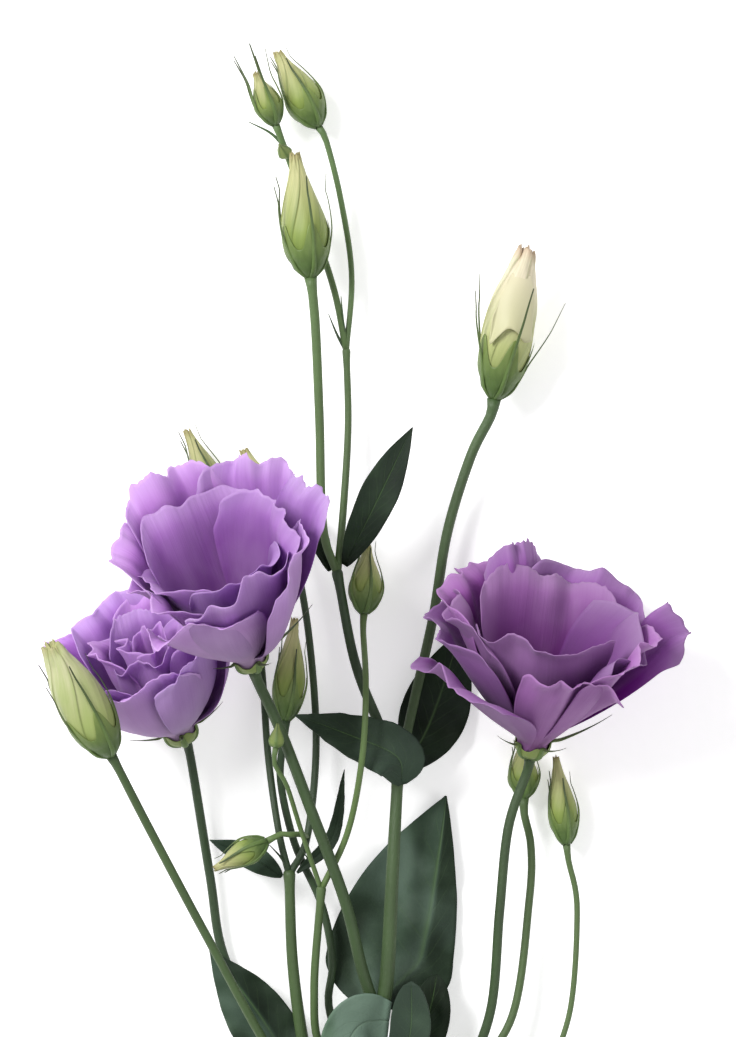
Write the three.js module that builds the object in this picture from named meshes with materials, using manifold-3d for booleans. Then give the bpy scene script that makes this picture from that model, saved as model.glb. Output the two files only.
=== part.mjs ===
// A cut, branching stem of double lisianthus (Eustoma) with three open blooms, buds and leaves,
// lying on its side. Millimetres. +Y runs from the cut end to the flowers, +Z up from the surface.

import * as THREE from 'three';
import Module from 'manifold-3d';
import { mergeVertices } from 'three/addons/utils/BufferGeometryUtils.js';

const wasm = await Module();
wasm.setup();

const { sin, cos, abs, min, max, sqrt, PI } = Math;

// ---------------------------------------------------------------- driving values

const CENTRE = [0, -1]; // shift in x and y that puts the middle of the part's box over the origin
const SEAT_GAP = 0.35; // clear space between a piece and what carries it
const PETAL_THICKNESS = 0.7;
const LEAF_THICKNESS = 0.8;
const LEAF_STEP = 9; // length of a leaf's rows
const STEM_SIDES = 6;
const TWIG_SIDES = 5;
const STEM_STEP = 20; // spacing of a stem's rings
const SIMPLIFY = 0.1; // slivers smaller than this are dropped after a join

const COLOURS = {
  stem: { color: 0x5d7f4b, roughness: 0.6 },
  leaf: { color: 0x2c4a35, roughness: 0.55 },
  petal: { color: 0xa67cc6, roughness: 0.7 },
  calyx: { color: 0x7f9a4e, roughness: 0.6 },
  bud: { color: 0xc3cf92, roughness: 0.6 },
  creamBud: { color: 0xe6e4bc, roughness: 0.6 },
  pistil: { color: 0xb9c266, roughness: 0.6 },
  stamen: { color: 0xd9c25a, roughness: 0.7 },
};

// Forks of the stem, where two or more branches meet.
const FORK = {
  foot: [2, -150, 5.5],
  lower: [3, -132, 9],
  leafy: [4, -113, 12.5],
  middle: [9, -43, 14],
  upper: [-8, 13, 14],
  top: [-5.5, 75.5, 8],
  side: [-12, -138, 7],
  right: [27, -131, 9],
  left: [-21.5, -71.5, 14],
  inner: [-12.5, -75.5, 17.5],
  twig: [-16.5, -61, 11],
};

// Every branch: the radius at its start and end, the points that its middle runs through, and the
// bud or bloom that it carries, which gives its last points.
const BRACT = [0.6, 0.35]; // radii of the needle-like bracts at the upper forks
const BRANCHES = [
  { radii: [2.6, 1.6], through: [[1, -164, 2.6], FORK.foot, FORK.lower, FORK.leafy, [6, -99, 15],
    [7.5, -70, 16], FORK.middle] },
  { radii: [1.35, 1.5], carries: 'cream', through: [FORK.middle, [14, -21, 8], [19, 1, 7],
    [23, 25, 8.5], [29.5, 46, 9.5]] },
  { radii: [1.5, 1.3], through: [FORK.middle, [4, -30, 13], [-3, -12, 13], FORK.upper] },
  { radii: [1.2, 1.35], carries: 'tall', through: [FORK.upper, [-12, 26, 15], [-13, 56, 15.5],
    [-14, 80, 17]] },
  { radii: [1.1, 0.95], through: [FORK.upper, [-6.5, 29, 11], [-5, 54, 9], FORK.top] },
  { radii: [0.8, 0.85], carries: 'top', through: [FORK.top, [-4, 97, 7], [-7, 118, 6.5]] },
  { radii: [0.95, 0.9], carries: 'far', through: [FORK.top, [-9, 93, 9], [-16, 114, 5]] },
  { radii: [1.7, 1.5], carries: 'front', through: [FORK.leafy, [-1, -98, 17], [-6, -78, 21],
    [-16, -51, 26], [-24, -30, 29.5]] },
  { radii: [1.15, 1.05], carries: 'hidden', through: [FORK.lower, [-6.5, -120, 10], [-10.5, -108, 9],
    [-9.4, -96, 9], [-12.5, -80, 8.5], [-20, -63, 9], [-24, -45, 11]] },
  { radii: [2, 1.8], through: [FORK.foot, FORK.side] },
  { radii: [1.9, 1.4], through: [FORK.side, [-17, -122, 10], [-20.5, -97, 12.5], FORK.left] },
  { radii: [1.05, 1], carries: 'back', through: [FORK.left, FORK.twig, [-14, -35, 8],
    [-16, -5, 6.5]] },
  { radii: [1, 1], carries: 'left_top', through: [FORK.left, [-24.5, -59, 14.5], [-27.5, -38, 10],
    [-30, -8, 5]] },
  { radii: [0.8, 0.8], carries: 'side', through: [FORK.twig, [-18.5, -60, 16.5],
    [-21.5, -60, 19]] },
  { radii: [1.15, 1.1], through: [FORK.lower, [-12, -121, 13], [-14.5, -104, 15], FORK.inner] },
  { radii: [0.9, 0.85], carries: 'mid', through: [FORK.inner, [-5, -59, 20], [-1, -38, 27],
    [0, -18, 25]] },
  { radii: [0.7, 0.65], carries: 'small', through: [FORK.inner, [-18, -59, 22], [-22, -46, 29]] },
  { radii: [1.3, 1.2], carries: 'left', through: [FORK.side, [-25, -124, 14], [-44, -89, 24],
    [-60, -58, 34]] },
  { radii: [1.35, 1.25], carries: 'backmost', through: [FORK.side, [-28, -118, 4.5], [-40, -95, 3.6],
    [-44, -72, 4.5]] },
  { radii: [2, 1.8], through: [FORK.lower, [14, -133, 8], FORK.right] },
  { radii: [1.35, 1.35], carries: 'right_bloom', through: [FORK.right, [35, -110, 12],
    [37.5, -82, 14.5], [40, -58, 15]] },
  { radii: [1.15, 1.1], carries: 'under', through: [FORK.right, [41, -112, 9], [46, -79, 7],
    [46.5, -64, 6.5]] },
  { radii: [0.8, 0.85], carries: 'right', through: [FORK.right, [48, -127, 9], [57, -112, 9],
    [59.5, -82, 7]] },
  { radii: BRACT, through: [FORK.top, [-8, 80, 8.5], [-10.5, 86, 10]] },
  { radii: BRACT, through: [FORK.top, [-6.2, 82, 9], [-7, 91, 11]] },
  { radii: BRACT, through: [FORK.inner, [-15, -69, 18], [-18, -64, 19]] },
  { radii: BRACT, through: [FORK.left, [-23.5, -67, 15.5], [-27, -63, 17]] },
  { radii: BRACT, through: [[-23.2, 133.5, 10.4], [-27, 137, 10.5], [-33, 140, 11]] },
];

// Buds: where the stem ends and the bud's tip, its greatest radius, how far the sepals stand off at
// their tips, and the share of the bud's length that they reach. A full bud is about to open.
const BUDS = {
  left: { foot: [-70.5, -37, 43.2], tip: [-87, -6, 56.2], radius: 7, stand: 0.9, reach: 0.8,
    full: true },
  left_top: { foot: [-38, 26, 7], tip: [-50.5, 53.5, 8], radius: 5, stand: 0.8, reach: 0.95 },
  back: { foot: [-22.5, 24, 7], tip: [-34.5, 48, 8], radius: 5.4, stand: 0.6, reach: 0.7 },
  tall: { foot: [-15.5, 96, 18], tip: [-20, 131, 19], radius: 6.6, stand: 3, reach: 0.78 },
  top: { foot: [-13.5, 139, 7.2], tip: [-25, 160, 8], radius: 5.3, stand: 0.6, reach: 0.93 },
  far: { foot: [-25.5, 139.5, 12.5], tip: [-31, 153.5, 16.5], radius: 3.7, stand: 4, reach: 1.4 },
  cream: { foot: [36, 62, 11], tip: [45, 104.5, 14.5], radius: 7.4, stand: 6, reach: 0.72,
    full: true },
  mid: { foot: [-0.5, 2, 13], tip: [0.5, 21, 10.5], radius: 4.6, stand: 0.6, reach: 1.02 },
  hidden: { foot: [-22.5, -28, 13], tip: [-20, 0.5, 12], radius: 4.5, stand: 0.4, reach: 0.75 },
  side: { foot: [-28, -62, 20], tip: [-42.5, -69.5, 22], radius: 3.7, stand: 0.4, reach: 0.92 },
  right: { foot: [56.5, -63, 6.3], tip: [53.5, -38.5, 6.8], radius: 4.1, stand: 0.3, reach: 0.8 },
  under: { foot: [44.5, -50, 6], tip: [44, -34, 5.2], radius: 4.2, stand: 1, reach: 0.95 },
};

// Small buds, still closed in their sepals.
const CLOSED_BUDS = {
  small: { foot: [-25, -35, 33], tip: [-24.5, -28.5, 34.5], radius: 2.1 },
  far_side: { foot: [-22.3, 130.6, 11.8], tip: [-24.2, 133.3, 16.4], radius: 2 },
};

// Leaves: points that the midrib runs through, half width, where the blade is widest (0 at its
// foot, 1 at its tip), how deeply it is folded along the midrib, its roll about the midrib in
// degrees and the depth of the wave along its edges; some have a broad base or a blunt tip.
const LEAVES = {
  upper_right: { midrib: [[-5.9, 15.4, 14.6], [3, 33, 21], [13, 54, 24]], half: 5.6, widest: 0.5,
    fold: 0.22, roll: -20, wave: 0.3 },
  upper_left: { midrib: [[-10.2, 13.8, 12.6], [-14, 24, 9.5], [-18.5, 33.5, 6]], half: 3,
    widest: 0.5, fold: 0.3, roll: 25, wave: 0.2 },
  middle_left: { midrib: [[10.1, -46, 16.7], [8.5, -38, 21], [-5, -32, 19.5], [-20, -26.5, 19]],
    half: 7.6, widest: 0.25, fold: 0.2, roll: 15, wave: 0.5 },
  middle_right: { midrib: [[11.2, -42, 11], [18.5, -28, 4], [27, -3, 2]], half: 9.5,
    widest: 0.45, fold: 0.07, roll: 0, wave: 0.5 },
  foot_large: { midrib: [[4.6, -109, 10.35], [6, -101, 7.2], [8, -91, 5.5], [13.5, -73, 4.5],
    [22.6, -49.7, 4]], half: 18, widest: 0.2, fold: -0.09, roll: 0, wave: 0.9, base: 0.4 },
  foot_left: { midrib: [[-20.2, -128.3, 7.9], [-31, -111, 8.3], [-44, -93, 8]], half: 9,
    widest: 0.35, fold: 0.1, roll: 0, wave: 0.5 },
  foot_front: { midrib: [[6.6, -112.4, 15.3], [3.8, -112.2, 15.8], [-1, -112.8, 20.2],
    [-4.6, -117, 23.5], [-8, -128, 24.5], [-10, -139, 21]], half: 8.6, widest: 0.3,
    fold: 0.08, roll: -13, wave: 0.4, base: 0.66 },
  foot_right: { midrib: [[6, -130, 11.5], [12.2, -117, 17.4], [12.8, -101, 19]], half: 5.8,
    widest: 0.6, fold: 0.2, roll: -15, wave: 0.4, blunt: 0.5 },
  foot_back: { midrib: [[6.3, -133.3, 5.6], [10.5, -128, 6.4], [15, -120, 9.5], [18.2, -109, 11],
    [20, -99.5, 10.5]], half: 6.3, widest: 0.6, fold: 0.1, roll: 0, wave: 0.4, blunt: 0.55 },
  side_small: { midrib: [[-23.6, -72, 12], [-32, -67, 8.5], [-44, -62, 7]], half: 3.6,
    widest: 0.4, fold: 0.3, roll: 10, wave: 0.3 },
  bract: { midrib: [[-19.3, -71, 13], [-9.5, -61, 12], [-6, -42, 12]], half: 1.9, widest: 0.35,
    fold: 0.3, roll: 0, wave: 0.15 },
};

// Blooms: where the flower sits, the direction it faces, and its petals, outer ones first. Each
// petal has:
// turn    degrees about the axis, 0 on the side nearest the sky, 90 to the right
// long    its length
// spread  how far it leans out from the axis, in degrees, at its foot and at its rim
// half    half its width
// wave    depth of the ruffle at the rim, crests across the rim, and its phase
// roll    how far the left and right edges turn outwards, where they do
// curl    how far the rim turns outwards, in degrees
// Each sepal has its turn, its length and how far it leans out.
const BLOOMS = {
  right: {
    branch: 'right_bloom',
    foot: [46, -38, 18],
    facing: [0.147, 0.865, 0.48],
    outer: [
      { turn: 20, long: 46, spread: [42, 22], half: 15, wave: [1.6, 2, 0.4], roll: [-2, 8], curl: 5 },
      { turn: 64, long: 52, spread: [38, 20], half: 17, wave: [1.8, 2, 1.4], curl: 8 },
      { turn: 118, long: 55, spread: [48, 36], half: 10, wave: [1.8, 2, 0], roll: [3, 3], curl: 8 },
      { turn: 160, long: 53, spread: [46, 28], half: 18, wave: [2.6, 2, 2.0], curl: 10 },
      { turn: 204, long: 58, spread: [38, 22], half: 10, wave: [2.4, 1, 0.6], roll: [4, 5], curl: 4 },
      { turn: 242, long: 54, spread: [43, 26], half: 20, wave: [2.2, 2, 1.0], curl: 8 },
      { turn: 276, long: 49, spread: [47, 30], half: 20, wave: [2.0, 2, 2.0], curl: 8 },
      { turn: 308, long: 46, spread: [52, 43], half: 19, wave: [1.6, 2, 2.6], roll: [0, 4], curl: 9 },
    ],
    inner: [
      { turn: 352, long: 50, spread: [30, 14], half: 22, wave: [2.0, 2, 2.2], curl: 9 },
      { turn: 88, long: 49, spread: [36, 22], half: 20, wave: [2.0, 2, 0.2], curl: 10 },
      { turn: 180, long: 48, spread: [36, 18], half: 23, wave: [2.2, 2, 1.1], curl: 9 },
      { turn: 268, long: 50, spread: [37, 19], half: 21, wave: [2.0, 2, 2.9], curl: 10 },
    ],
    sepals: [[35, 14, 60], [100, 20, 62], [175, 14, 62], [245, 14, 60], [315, 12, 62]],
  },
  front: {
    branch: 'front',
    foot: [-31.2, -13, 37],
    facing: [-0.23, 0.75, 0.62],
    outer: [
      { turn: 12, long: 50, spread: [40, 10], half: 19, wave: [1.2, 2, 0.4], curl: 6 },
      { turn: 60, long: 52, spread: [50, 4], half: 19, wave: [1.4, 2, 1.8], curl: 6 },
      { turn: 116, long: 55, spread: [44, 20], half: 11, wave: [1.8, 2, 0.8], roll: [2, 4], curl: 16 },
      { turn: 150, long: 57, spread: [42, 22], half: 15, wave: [2.4, 2, 2.3], curl: 8 },
      { turn: 196, long: 58, spread: [36, 22], half: 16, wave: [2.2, 2, 0.2], curl: 8 },
      { turn: 238, long: 52, spread: [38, 18], half: 19, wave: [2.0, 2, 2.0], curl: 10 },
      { turn: 282, long: 44, spread: [38, 12], half: 16, wave: [1.8, 2, 1.2], curl: 12 },
      { turn: 330, long: 43, spread: [44, 20], half: 17, wave: [1.6, 2, 1.2], roll: [4, 0], curl: 10 },
    ],
    inner: [
      { turn: 20, long: 47, spread: [26, 12], half: 18, wave: [1.8, 2, 1.2], curl: 8 },
      { turn: 100, long: 51, spread: [30, 10], half: 18, wave: [2.0, 2, 2.8], curl: 8 },
      { turn: 190, long: 50, spread: [32, 16], half: 21, wave: [2.0, 2, 0.9], curl: 8 },
      { turn: 280, long: 45, spread: [30, 14], half: 18, wave: [1.8, 2, 2.6], curl: 10 },
    ],
    sepals: [[20, 14, 60], [90, 20, 62], [160, 10, 58], [240, 6, 54], [300, 9, 60]],
  },
  back: {
    branch: 'backmost',
    foot: [-51, -34.5, 9],
    facing: [-0.31, 0.81, 0.49],
    outer: [
      { turn: 345, long: 41, spread: [54, 6], half: 17, wave: [1.4, 2, 0.6], curl: 12 },
      { turn: 38, long: 41, spread: [56, 2], half: 17, wave: [1.4, 2, 1.6], curl: 10 },
      { turn: 95, long: 40, spread: [58, 2], half: 16, wave: [1.4, 2, 2.6], curl: 6 },
      { turn: 150, long: 42, spread: [48, 8], half: 16, wave: [1.8, 2, 0.2], curl: 8 },
      { turn: 204, long: 43, spread: [44, 8], half: 16, wave: [1.8, 2, 1.1], curl: 8 },
      { turn: 256, long: 46, spread: [48, 16], half: 16, wave: [1.6, 2, 2.1], curl: 10 },
      { turn: 302, long: 40, spread: [54, 10], half: 15, wave: [1.4, 2, 2.1], curl: 10 },
    ],
    inner: [
      { turn: 350, long: 36, spread: [30, -8], half: 13, wave: [1.8, 2, 2.4], curl: 10 },
      { turn: 80, long: 36, spread: [32, -4], half: 13, wave: [1.8, 2, 0.4], curl: 10 },
      { turn: 170, long: 38, spread: [34, -2], half: 13, wave: [1.8, 2, 1.5], curl: 10 },
      { turn: 260, long: 38, spread: [34, -4], half: 13, wave: [1.8, 2, 2.7], curl: 10 },
    ],
    heart: [
      { turn: 30, long: 34, spread: [14, -12], half: 8, wave: [1.6, 2, 0.5], curl: 8 },
      { turn: 150, long: 35, spread: [16, -10], half: 8, wave: [1.6, 2, 1.6], curl: 8 },
      { turn: 265, long: 36, spread: [18, -12], half: 8, wave: [1.8, 2, 2.6], curl: 8 },
    ],
    sepals: [[0, 10, 66], [75, 12, 66], [150, 12, 66], [220, 12, 66], [290, 12, 66]],
  },
};

// ---------------------------------------------------------------- vectors and curves

const vec = ([x, y, z]) => new THREE.Vector3(x, y, z);
const radians = (degrees) => degrees * PI / 180;
const mix = (a, b, t) => a + (b - a) * t;
const smooth = (t) => {
  const x = min(1, max(0, t));
  return x * x * (3 - 2 * x);
};
const route = (points) => new THREE.CatmullRomCurve3(points.map(vec), false, 'catmullrom', 0.5);
const plus = (start, ...steps) => {
  const sum = start.clone();
  for (const [direction, amount] of steps) sum.addScaledVector(direction, amount);
  return sum;
};

// ---------------------------------------------------------------- closed surfaces

// A closed mesh from shared points and triangles.
function closedMesh(points, triangles) {
  const geometry = new THREE.BufferGeometry();
  const places = points.flatMap((point) => [point.x, point.y, point.z]);
  geometry.setAttribute('position', new THREE.Float32BufferAttribute(places, 3));
  geometry.setIndex(triangles.flat());
  return geometry;
}

// A solid skinned over rings with the same number of points, closed by a fan at each end. The
// rings run anticlockwise seen against the direction in which they follow each other.
function skin(rings) {
  const count = rings[0].length;
  const points = rings.flat();
  const triangles = [];
  for (let ring = 0; ring + 1 < rings.length; ring += 1) {
    for (let side = 0; side < count; side += 1) {
      const a = ring * count + side;
      const b = ring * count + (side + 1) % count;
      triangles.push([a, b, b + count], [a, b + count, a + count]);
    }
  }
  for (const [ring, forward] of [[0, false], [rings.length - 1, true]]) {
    const centre = new THREE.Vector3();
    rings[ring].forEach((point) => centre.addScaledVector(point, 1 / count));
    points.push(centre);
    for (let side = 0; side < count; side += 1) {
      const a = ring * count + side;
      const b = ring * count + (side + 1) % count;
      triangles.push(forward ? [a, b, points.length - 1] : [b, a, points.length - 1]);
    }
  }
  return closedMesh(points, triangles);
}

// A thin blade round a surface that place(across, along) gives for across -1..1, along 0..1. Both
// faces are split into triangles alike.
function blade(columns, rows, thickness, place) {
  const wide = columns + 1;
  const middle = [];
  for (let j = 0; j <= rows; j += 1) {
    for (let i = 0; i <= columns; i += 1) middle.push(place(2 * i / columns - 1, j / rows));
  }
  const at = (i, j) => middle[min(rows, max(0, j)) * wide + min(columns, max(0, i))];
  const faces = [[], []];
  for (let j = 0; j <= rows; j += 1) {
    for (let i = 0; i <= columns; i += 1) {
      const across = at(i + 1, j).clone().sub(at(i - 1, j));
      const along = at(i, j + 1).clone().sub(at(i, j - 1));
      const normal = across.cross(along).normalize();
      faces[0].push(plus(at(i, j), [normal, thickness / 2]));
      faces[1].push(plus(at(i, j), [normal, -thickness / 2]));
    }
  }
  const back = middle.length;
  const triangles = [];
  for (let j = 0; j < rows; j += 1) {
    for (let i = 0; i < columns; i += 1) {
      const a = j * wide + i;
      const [b, c, d] = [a + 1, a + 1 + wide, a + wide];
      triangles.push([a, b, c], [a, c, d]);
      triangles.push([a + back, c + back, b + back], [a + back, d + back, c + back]);
    }
  }
  const edge = [];
  for (let i = 0; i < columns; i += 1) edge.push(i);
  for (let j = 0; j < rows; j += 1) edge.push(j * wide + columns);
  for (let i = columns; i > 0; i -= 1) edge.push(rows * wide + i);
  for (let j = rows; j > 0; j -= 1) edge.push(j * wide);
  edge.forEach((a, k) => {
    const b = edge[(k + 1) % edge.length];
    triangles.push([a, a + back, b + back], [a, b + back, b]);
  });
  return closedMesh([...faces[0], ...faces[1]], triangles);
}

// A round rod along a curve, with a radius that depends on the share of the way along it.
function rod(curve, sides, step, radiusAt) {
  const steps = max(2, Math.round(curve.getLength() / step));
  let across = null;
  const rings = [];
  for (let k = 0; k <= steps; k += 1) {
    const share = k / steps;
    const centre = curve.getPointAt(share);
    const along = curve.getTangentAt(share);
    if (!across) across = new THREE.Vector3(along.y, -along.x, 0).normalize();
    across.addScaledVector(along, -across.dot(along)).normalize();
    const up = along.clone().cross(across);
    const ring = [];
    for (let side = 0; side < sides; side += 1) {
      const angle = 2 * PI * (side + 0.5) / sides;
      ring.push(plus(centre, [across, radiusAt(share) * cos(angle)],
        [up, radiusAt(share) * sin(angle)]));
    }
    rings.push(ring);
  }
  return skin(rings);
}

// ---------------------------------------------------------------- joining

function solid(geometry) {
  const bare = new THREE.BufferGeometry();
  bare.setAttribute('position', geometry.getAttribute('position').clone());
  bare.setIndex(geometry.index);
  const merged = mergeVertices(bare, 1e-4);
  return new wasm.Manifold(new wasm.Mesh({
    numProp: 3,
    vertProperties: new Float32Array(merged.getAttribute('position').array),
    triVerts: new Uint32Array(merged.index.array),
  }));
}

// One closed body from overlapping ones.
function join(geometries) {
  const joined = geometries.map(solid).reduce((sum, next) => sum.add(next)).simplify(SIMPLIFY);
  const body = joined.decompose().reduce((best, next) => (
    next.volume() > best.volume() ? next : best));
  const mesh = body.getMesh();
  const geometry = new THREE.BufferGeometry();
  geometry.setAttribute('position', new THREE.BufferAttribute(mesh.vertProperties, 3));
  geometry.setIndex(new THREE.BufferAttribute(mesh.triVerts, 1));
  return geometry;
}

// ---------------------------------------------------------------- stem

const NODE_SWELL = 1.25; // a fork is this much thicker than the branch that reaches it
const RECEPTACLE_SWELL = 1.35;
const SWELL_LENGTH = 4;

const NECK = 5; // the last stretch of a stem, in line with what it carries

// What the branches carry, by name: its foot and the direction that it faces.
const CARRIED = {};
for (const [name, { foot, tip }] of Object.entries({ ...BUDS, ...CLOSED_BUDS })) {
  CARRIED[name] = { foot, facing: vec(tip).sub(vec(foot)).toArray() };
}
for (const bloom of Object.values(BLOOMS)) CARRIED[bloom.branch] = bloom;

// A branch thickens a little where it forks and under a bloom or bud.
function branch({ radii, through, carries }) {
  const points = [...through];
  if (carries) {
    const { foot, axis } = axes(CARRIED[carries].foot, CARRIED[carries].facing);
    points.push(plus(foot, [axis, -NECK]).toArray(), foot.toArray());
  }
  const curve = route(points);
  const length = curve.getLength();
  const swell = carries ? RECEPTACLE_SWELL : NODE_SWELL;
  const sides = radii[0] > 1.1 ? STEM_SIDES : TWIG_SIDES;
  return rod(curve, sides, STEM_STEP, (share) => {
    const left = (1 - share) * length;
    const thick = radii === BRACT ? 1 : 1 + (swell - 1) * (1 - smooth(left / SWELL_LENGTH));
    return mix(radii[0], radii[1], share) * thick;
  });
}

function stem() {
  return join(BRANCHES.map(branch));
}

// ---------------------------------------------------------------- leaves

// Half the width of a leaf, as a share of its widest, from its foot to its tip.
function leafOutline(along, { widest, base = 0.16, blunt = 0.95 }) {
  const t = along < widest ? 0.5 * along / widest : 0.5 + 0.5 * (along - widest) / (1 - widest);
  const belly = sin(PI * t) ** (along < widest ? 0.8 : blunt);
  return along < widest ? base + (1 - base) * belly : max(0.03, belly);
}

function leaf(shape) {
  const { midrib, half, fold, roll, wave } = shape;
  const curve = route(midrib);
  const columns = 4;
  const rows = max(4, Math.round(curve.getLength() / LEAF_STEP));
  return blade(columns, rows, LEAF_THICKNESS, (across, along) => {
    const spine = curve.getPointAt(along);
    const forward = curve.getTangentAt(along);
    const right = forward.clone().cross(new THREE.Vector3(0, 0, 1)).normalize();
    right.applyAxisAngle(forward, radians(roll));
    const up = right.clone().cross(forward);
    const reach = half * leafOutline(along, shape) * across;
    const ripple = wave * sin(5.5 * PI * along + across) * abs(across) ** 2 * sin(PI * along);
    return plus(spine, [right, reach], [up, abs(reach) * fold + ripple]);
  });
}

// ---------------------------------------------------------------- buds

// A bud's axis and two directions square to it.
function axes(foot, facing) {
  const axis = vec(facing).normalize();
  const sky = new THREE.Vector3(0, 0, 1);
  const near = plus(sky, [axis, -sky.dot(axis)]).normalize();
  return { foot: vec(foot), axis, near, right: axis.clone().cross(near) };
}

const turned = (frame, angle) => plus(new THREE.Vector3(), [frame.near, cos(angle)],
  [frame.right, sin(angle)]);

const BUD_SIDES = 10; // two for each of the five petals
const CUP_SHARE = 0.06; // the calyx cup takes up this share of a bud's length
const CUP_RADIUS = 0.55; // radius of the cup's rim, as a share of the bud's radius

// A bud's outline: share of its length, and radius as a share of its greatest.
const SLIM = [[0, 0.4], [0.1, 0.82], [0.32, 1], [0.56, 0.76], [0.82, 0.36], [1, 0.2]];
const FULL = [[0, 0.4], [0.1, 0.78], [0.34, 1], [0.6, 0.9], [0.84, 0.54], [1, 0.32]];

function budFrame(bud) {
  const span = vec(bud.tip).sub(vec(bud.foot));
  const length = span.length();
  const seat = SEAT_GAP + CUP_SHARE * length;
  return { ...axes(bud.foot, span.toArray()), length, seat };
}

// Height over the foot and radius of each ring of a bud's corolla.
function budRings(bud, frame) {
  return (bud.full ? FULL : SLIM).map(([share, wide]) => (
    [mix(frame.seat + SEAT_GAP, frame.length, share), bud.radius * wide]));
}

// A ring of points round an axis, fluted so that every second point stands out.
function roundRing(frame, sides, height, radius, flute = 0, twist = 0) {
  const ring = [];
  for (let side = 0; side < sides; side += 1) {
    const angle = 2 * PI * side / sides + twist;
    const reach = radius * (1 + (side % 2 ? -flute : flute));
    ring.push(plus(frame.foot, [frame.axis, height], [turned(frame, angle), reach]));
  }
  return ring;
}

// The corolla is rolled up: five petals lie over each other like a furled umbrella.
function budCorolla(bud) {
  const frame = budFrame(bud);
  return skin(budRings(bud, frame).map(([height, radius], k) => (
    roundRing(frame, BUD_SIDES, height, radius, 0.05 * smooth(k / 3), 0.12 * k))));
}

const SEPAL_FOOT = 0.45; // a sepal is narrower where it leaves the cup

// A sepal: a keeled strip with a three-cornered section, through [height, distance] points.
function sepalBlade(frame, { turn, half, points }) {
  const out = turned(frame, turn);
  const aside = frame.axis.clone().cross(out);
  const rings = points.map(([height, distance], k) => {
    const before = points[max(0, k - 1)];
    const after = points[min(points.length - 1, k + 1)];
    const slope = Math.atan2(after[1] - before[1], after[0] - before[0]);
    const along = k / (points.length - 1);
    const centre = plus(frame.foot, [frame.axis, height], [out, distance]);
    const outward = plus(new THREE.Vector3(), [out, cos(slope)], [frame.axis, -sin(slope)]);
    const reach = k ? max(0.35, half * (1 - along ** 1.6)) : SEPAL_FOOT * half;
    const keel = k ? mix(1.1, 0.6, along) : 0.6;
    return [plus(centre, [aside, reach]), plus(centre, [aside, -reach]),
      plus(centre, [outward, keel])];
  });
  return skin(rings);
}

// A calyx: a small cup on the end of the stem, and five sepals that grow from it.
function calyx(frame, footRadius, rimRadius, sepals) {
  const cup = skin([
    roundRing(frame, STEM_SIDES, SEAT_GAP, footRadius),
    roundRing(frame, STEM_SIDES, frame.seat, rimRadius),
  ]);
  return join([cup, ...sepals.map((sepal) => sepalBlade(frame, sepal))]);
}

function budCalyx(bud) {
  const frame = budFrame(bud);
  const rings = budRings(bud, frame);
  const sepals = [];
  const clear = 0.45;
  for (let k = 0; k < 5; k += 1) {
    const end = bud.reach * (1 + 0.07 * sin(2.4 * k + bud.radius));
    const points = [[mix(SEAT_GAP, frame.seat, 0.6), 0.3 * bud.radius]];
    for (const [height, radius] of rings.slice(1)) {
      const share = height / frame.length;
      if (share > end - 0.12) break;
      const stand = bud.stand * smooth((share - 0.2) / (end - 0.2));
      points.push([height, max(1.05 * radius, CUP_RADIUS * bud.radius) + clear + stand]);
    }
    const last = points[points.length - 1];
    points.push([end * frame.length, max(0.6, last[1] + 0.25 * bud.stand)]);
    sepals.push({ turn: 2 * PI * (k + 0.25) / 5, half: 0.34 * bud.radius, points });
  }
  return calyx(frame, 1.3, CUP_RADIUS * bud.radius, sepals);
}

// A small closed bud, still wrapped in its sepals.
function closedBud(bud) {
  const frame = budFrame(bud);
  return skin(SLIM.map(([share, wide]) => (
    roundRing(frame, BUD_SIDES, mix(SEAT_GAP, frame.length, share), bud.radius * wide, 0.08))));
}

// ---------------------------------------------------------------- blooms

const OUTER_CLAW = 4; // distance from the axis of the outer petals' feet
const INNER_CLAW = 3.2; // and of the inner petals' feet
const CORE_RADIUS = 4.2;
const CORE_HEIGHT = 3;
const CORE_START = 2.6; // the corolla starts this far above the bloom's foot
const CORE_SIDES = 8;
const OUTER_COLUMNS = 4; // rows and columns of a petal
const INNER_COLUMNS = 3;
const PETAL_ROWS = 3;

// How a petal leans out along its length: [distance from the axis, height, lean] in steps.
function petalProfile({ long, spread, curl }, claw) {
  const steps = 24;
  const profile = [];
  let [distance, height] = [claw, 0];
  for (let k = 0; k <= steps; k += 1) {
    const along = k / steps;
    const rim = max(0, (along - 0.7) / 0.3);
    const opening = mix(spread[0], spread[1], smooth(along)) * smooth(along / TUBE);
    const lean = radians(opening + 3 * curl * rim * rim);
    profile.push([distance, height, lean]);
    distance += sin(lean) * long / steps;
    height += cos(lean) * long / steps;
  }
  return (along) => {
    const place = min(0.9999, max(0, along)) * steps;
    const k = Math.floor(place);
    return profile[k].map((value, n) => mix(value, profile[k + 1][n], place - k));
  };
}

const CLAW_WIDTH = 0.08; // width of a petal's foot, as a share of its widest
const RIM_ROUND = 0.17; // how far back the corners of a petal lie from the middle of its rim
const RIM_POWER = 3.4; // how square those corners are
const TUBE = 0.1; // share of a petal that stands upright inside the calyx
const SKEW = 0.18; // how much further in its right edge lies, as a share of its half width
const HUG = 0.9; // how closely a petal wraps the axis: 1 follows the cup, 0 is flat
const FURTHEST_BEND = 1.2; // in radians, from a petal's middle to its edge

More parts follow.
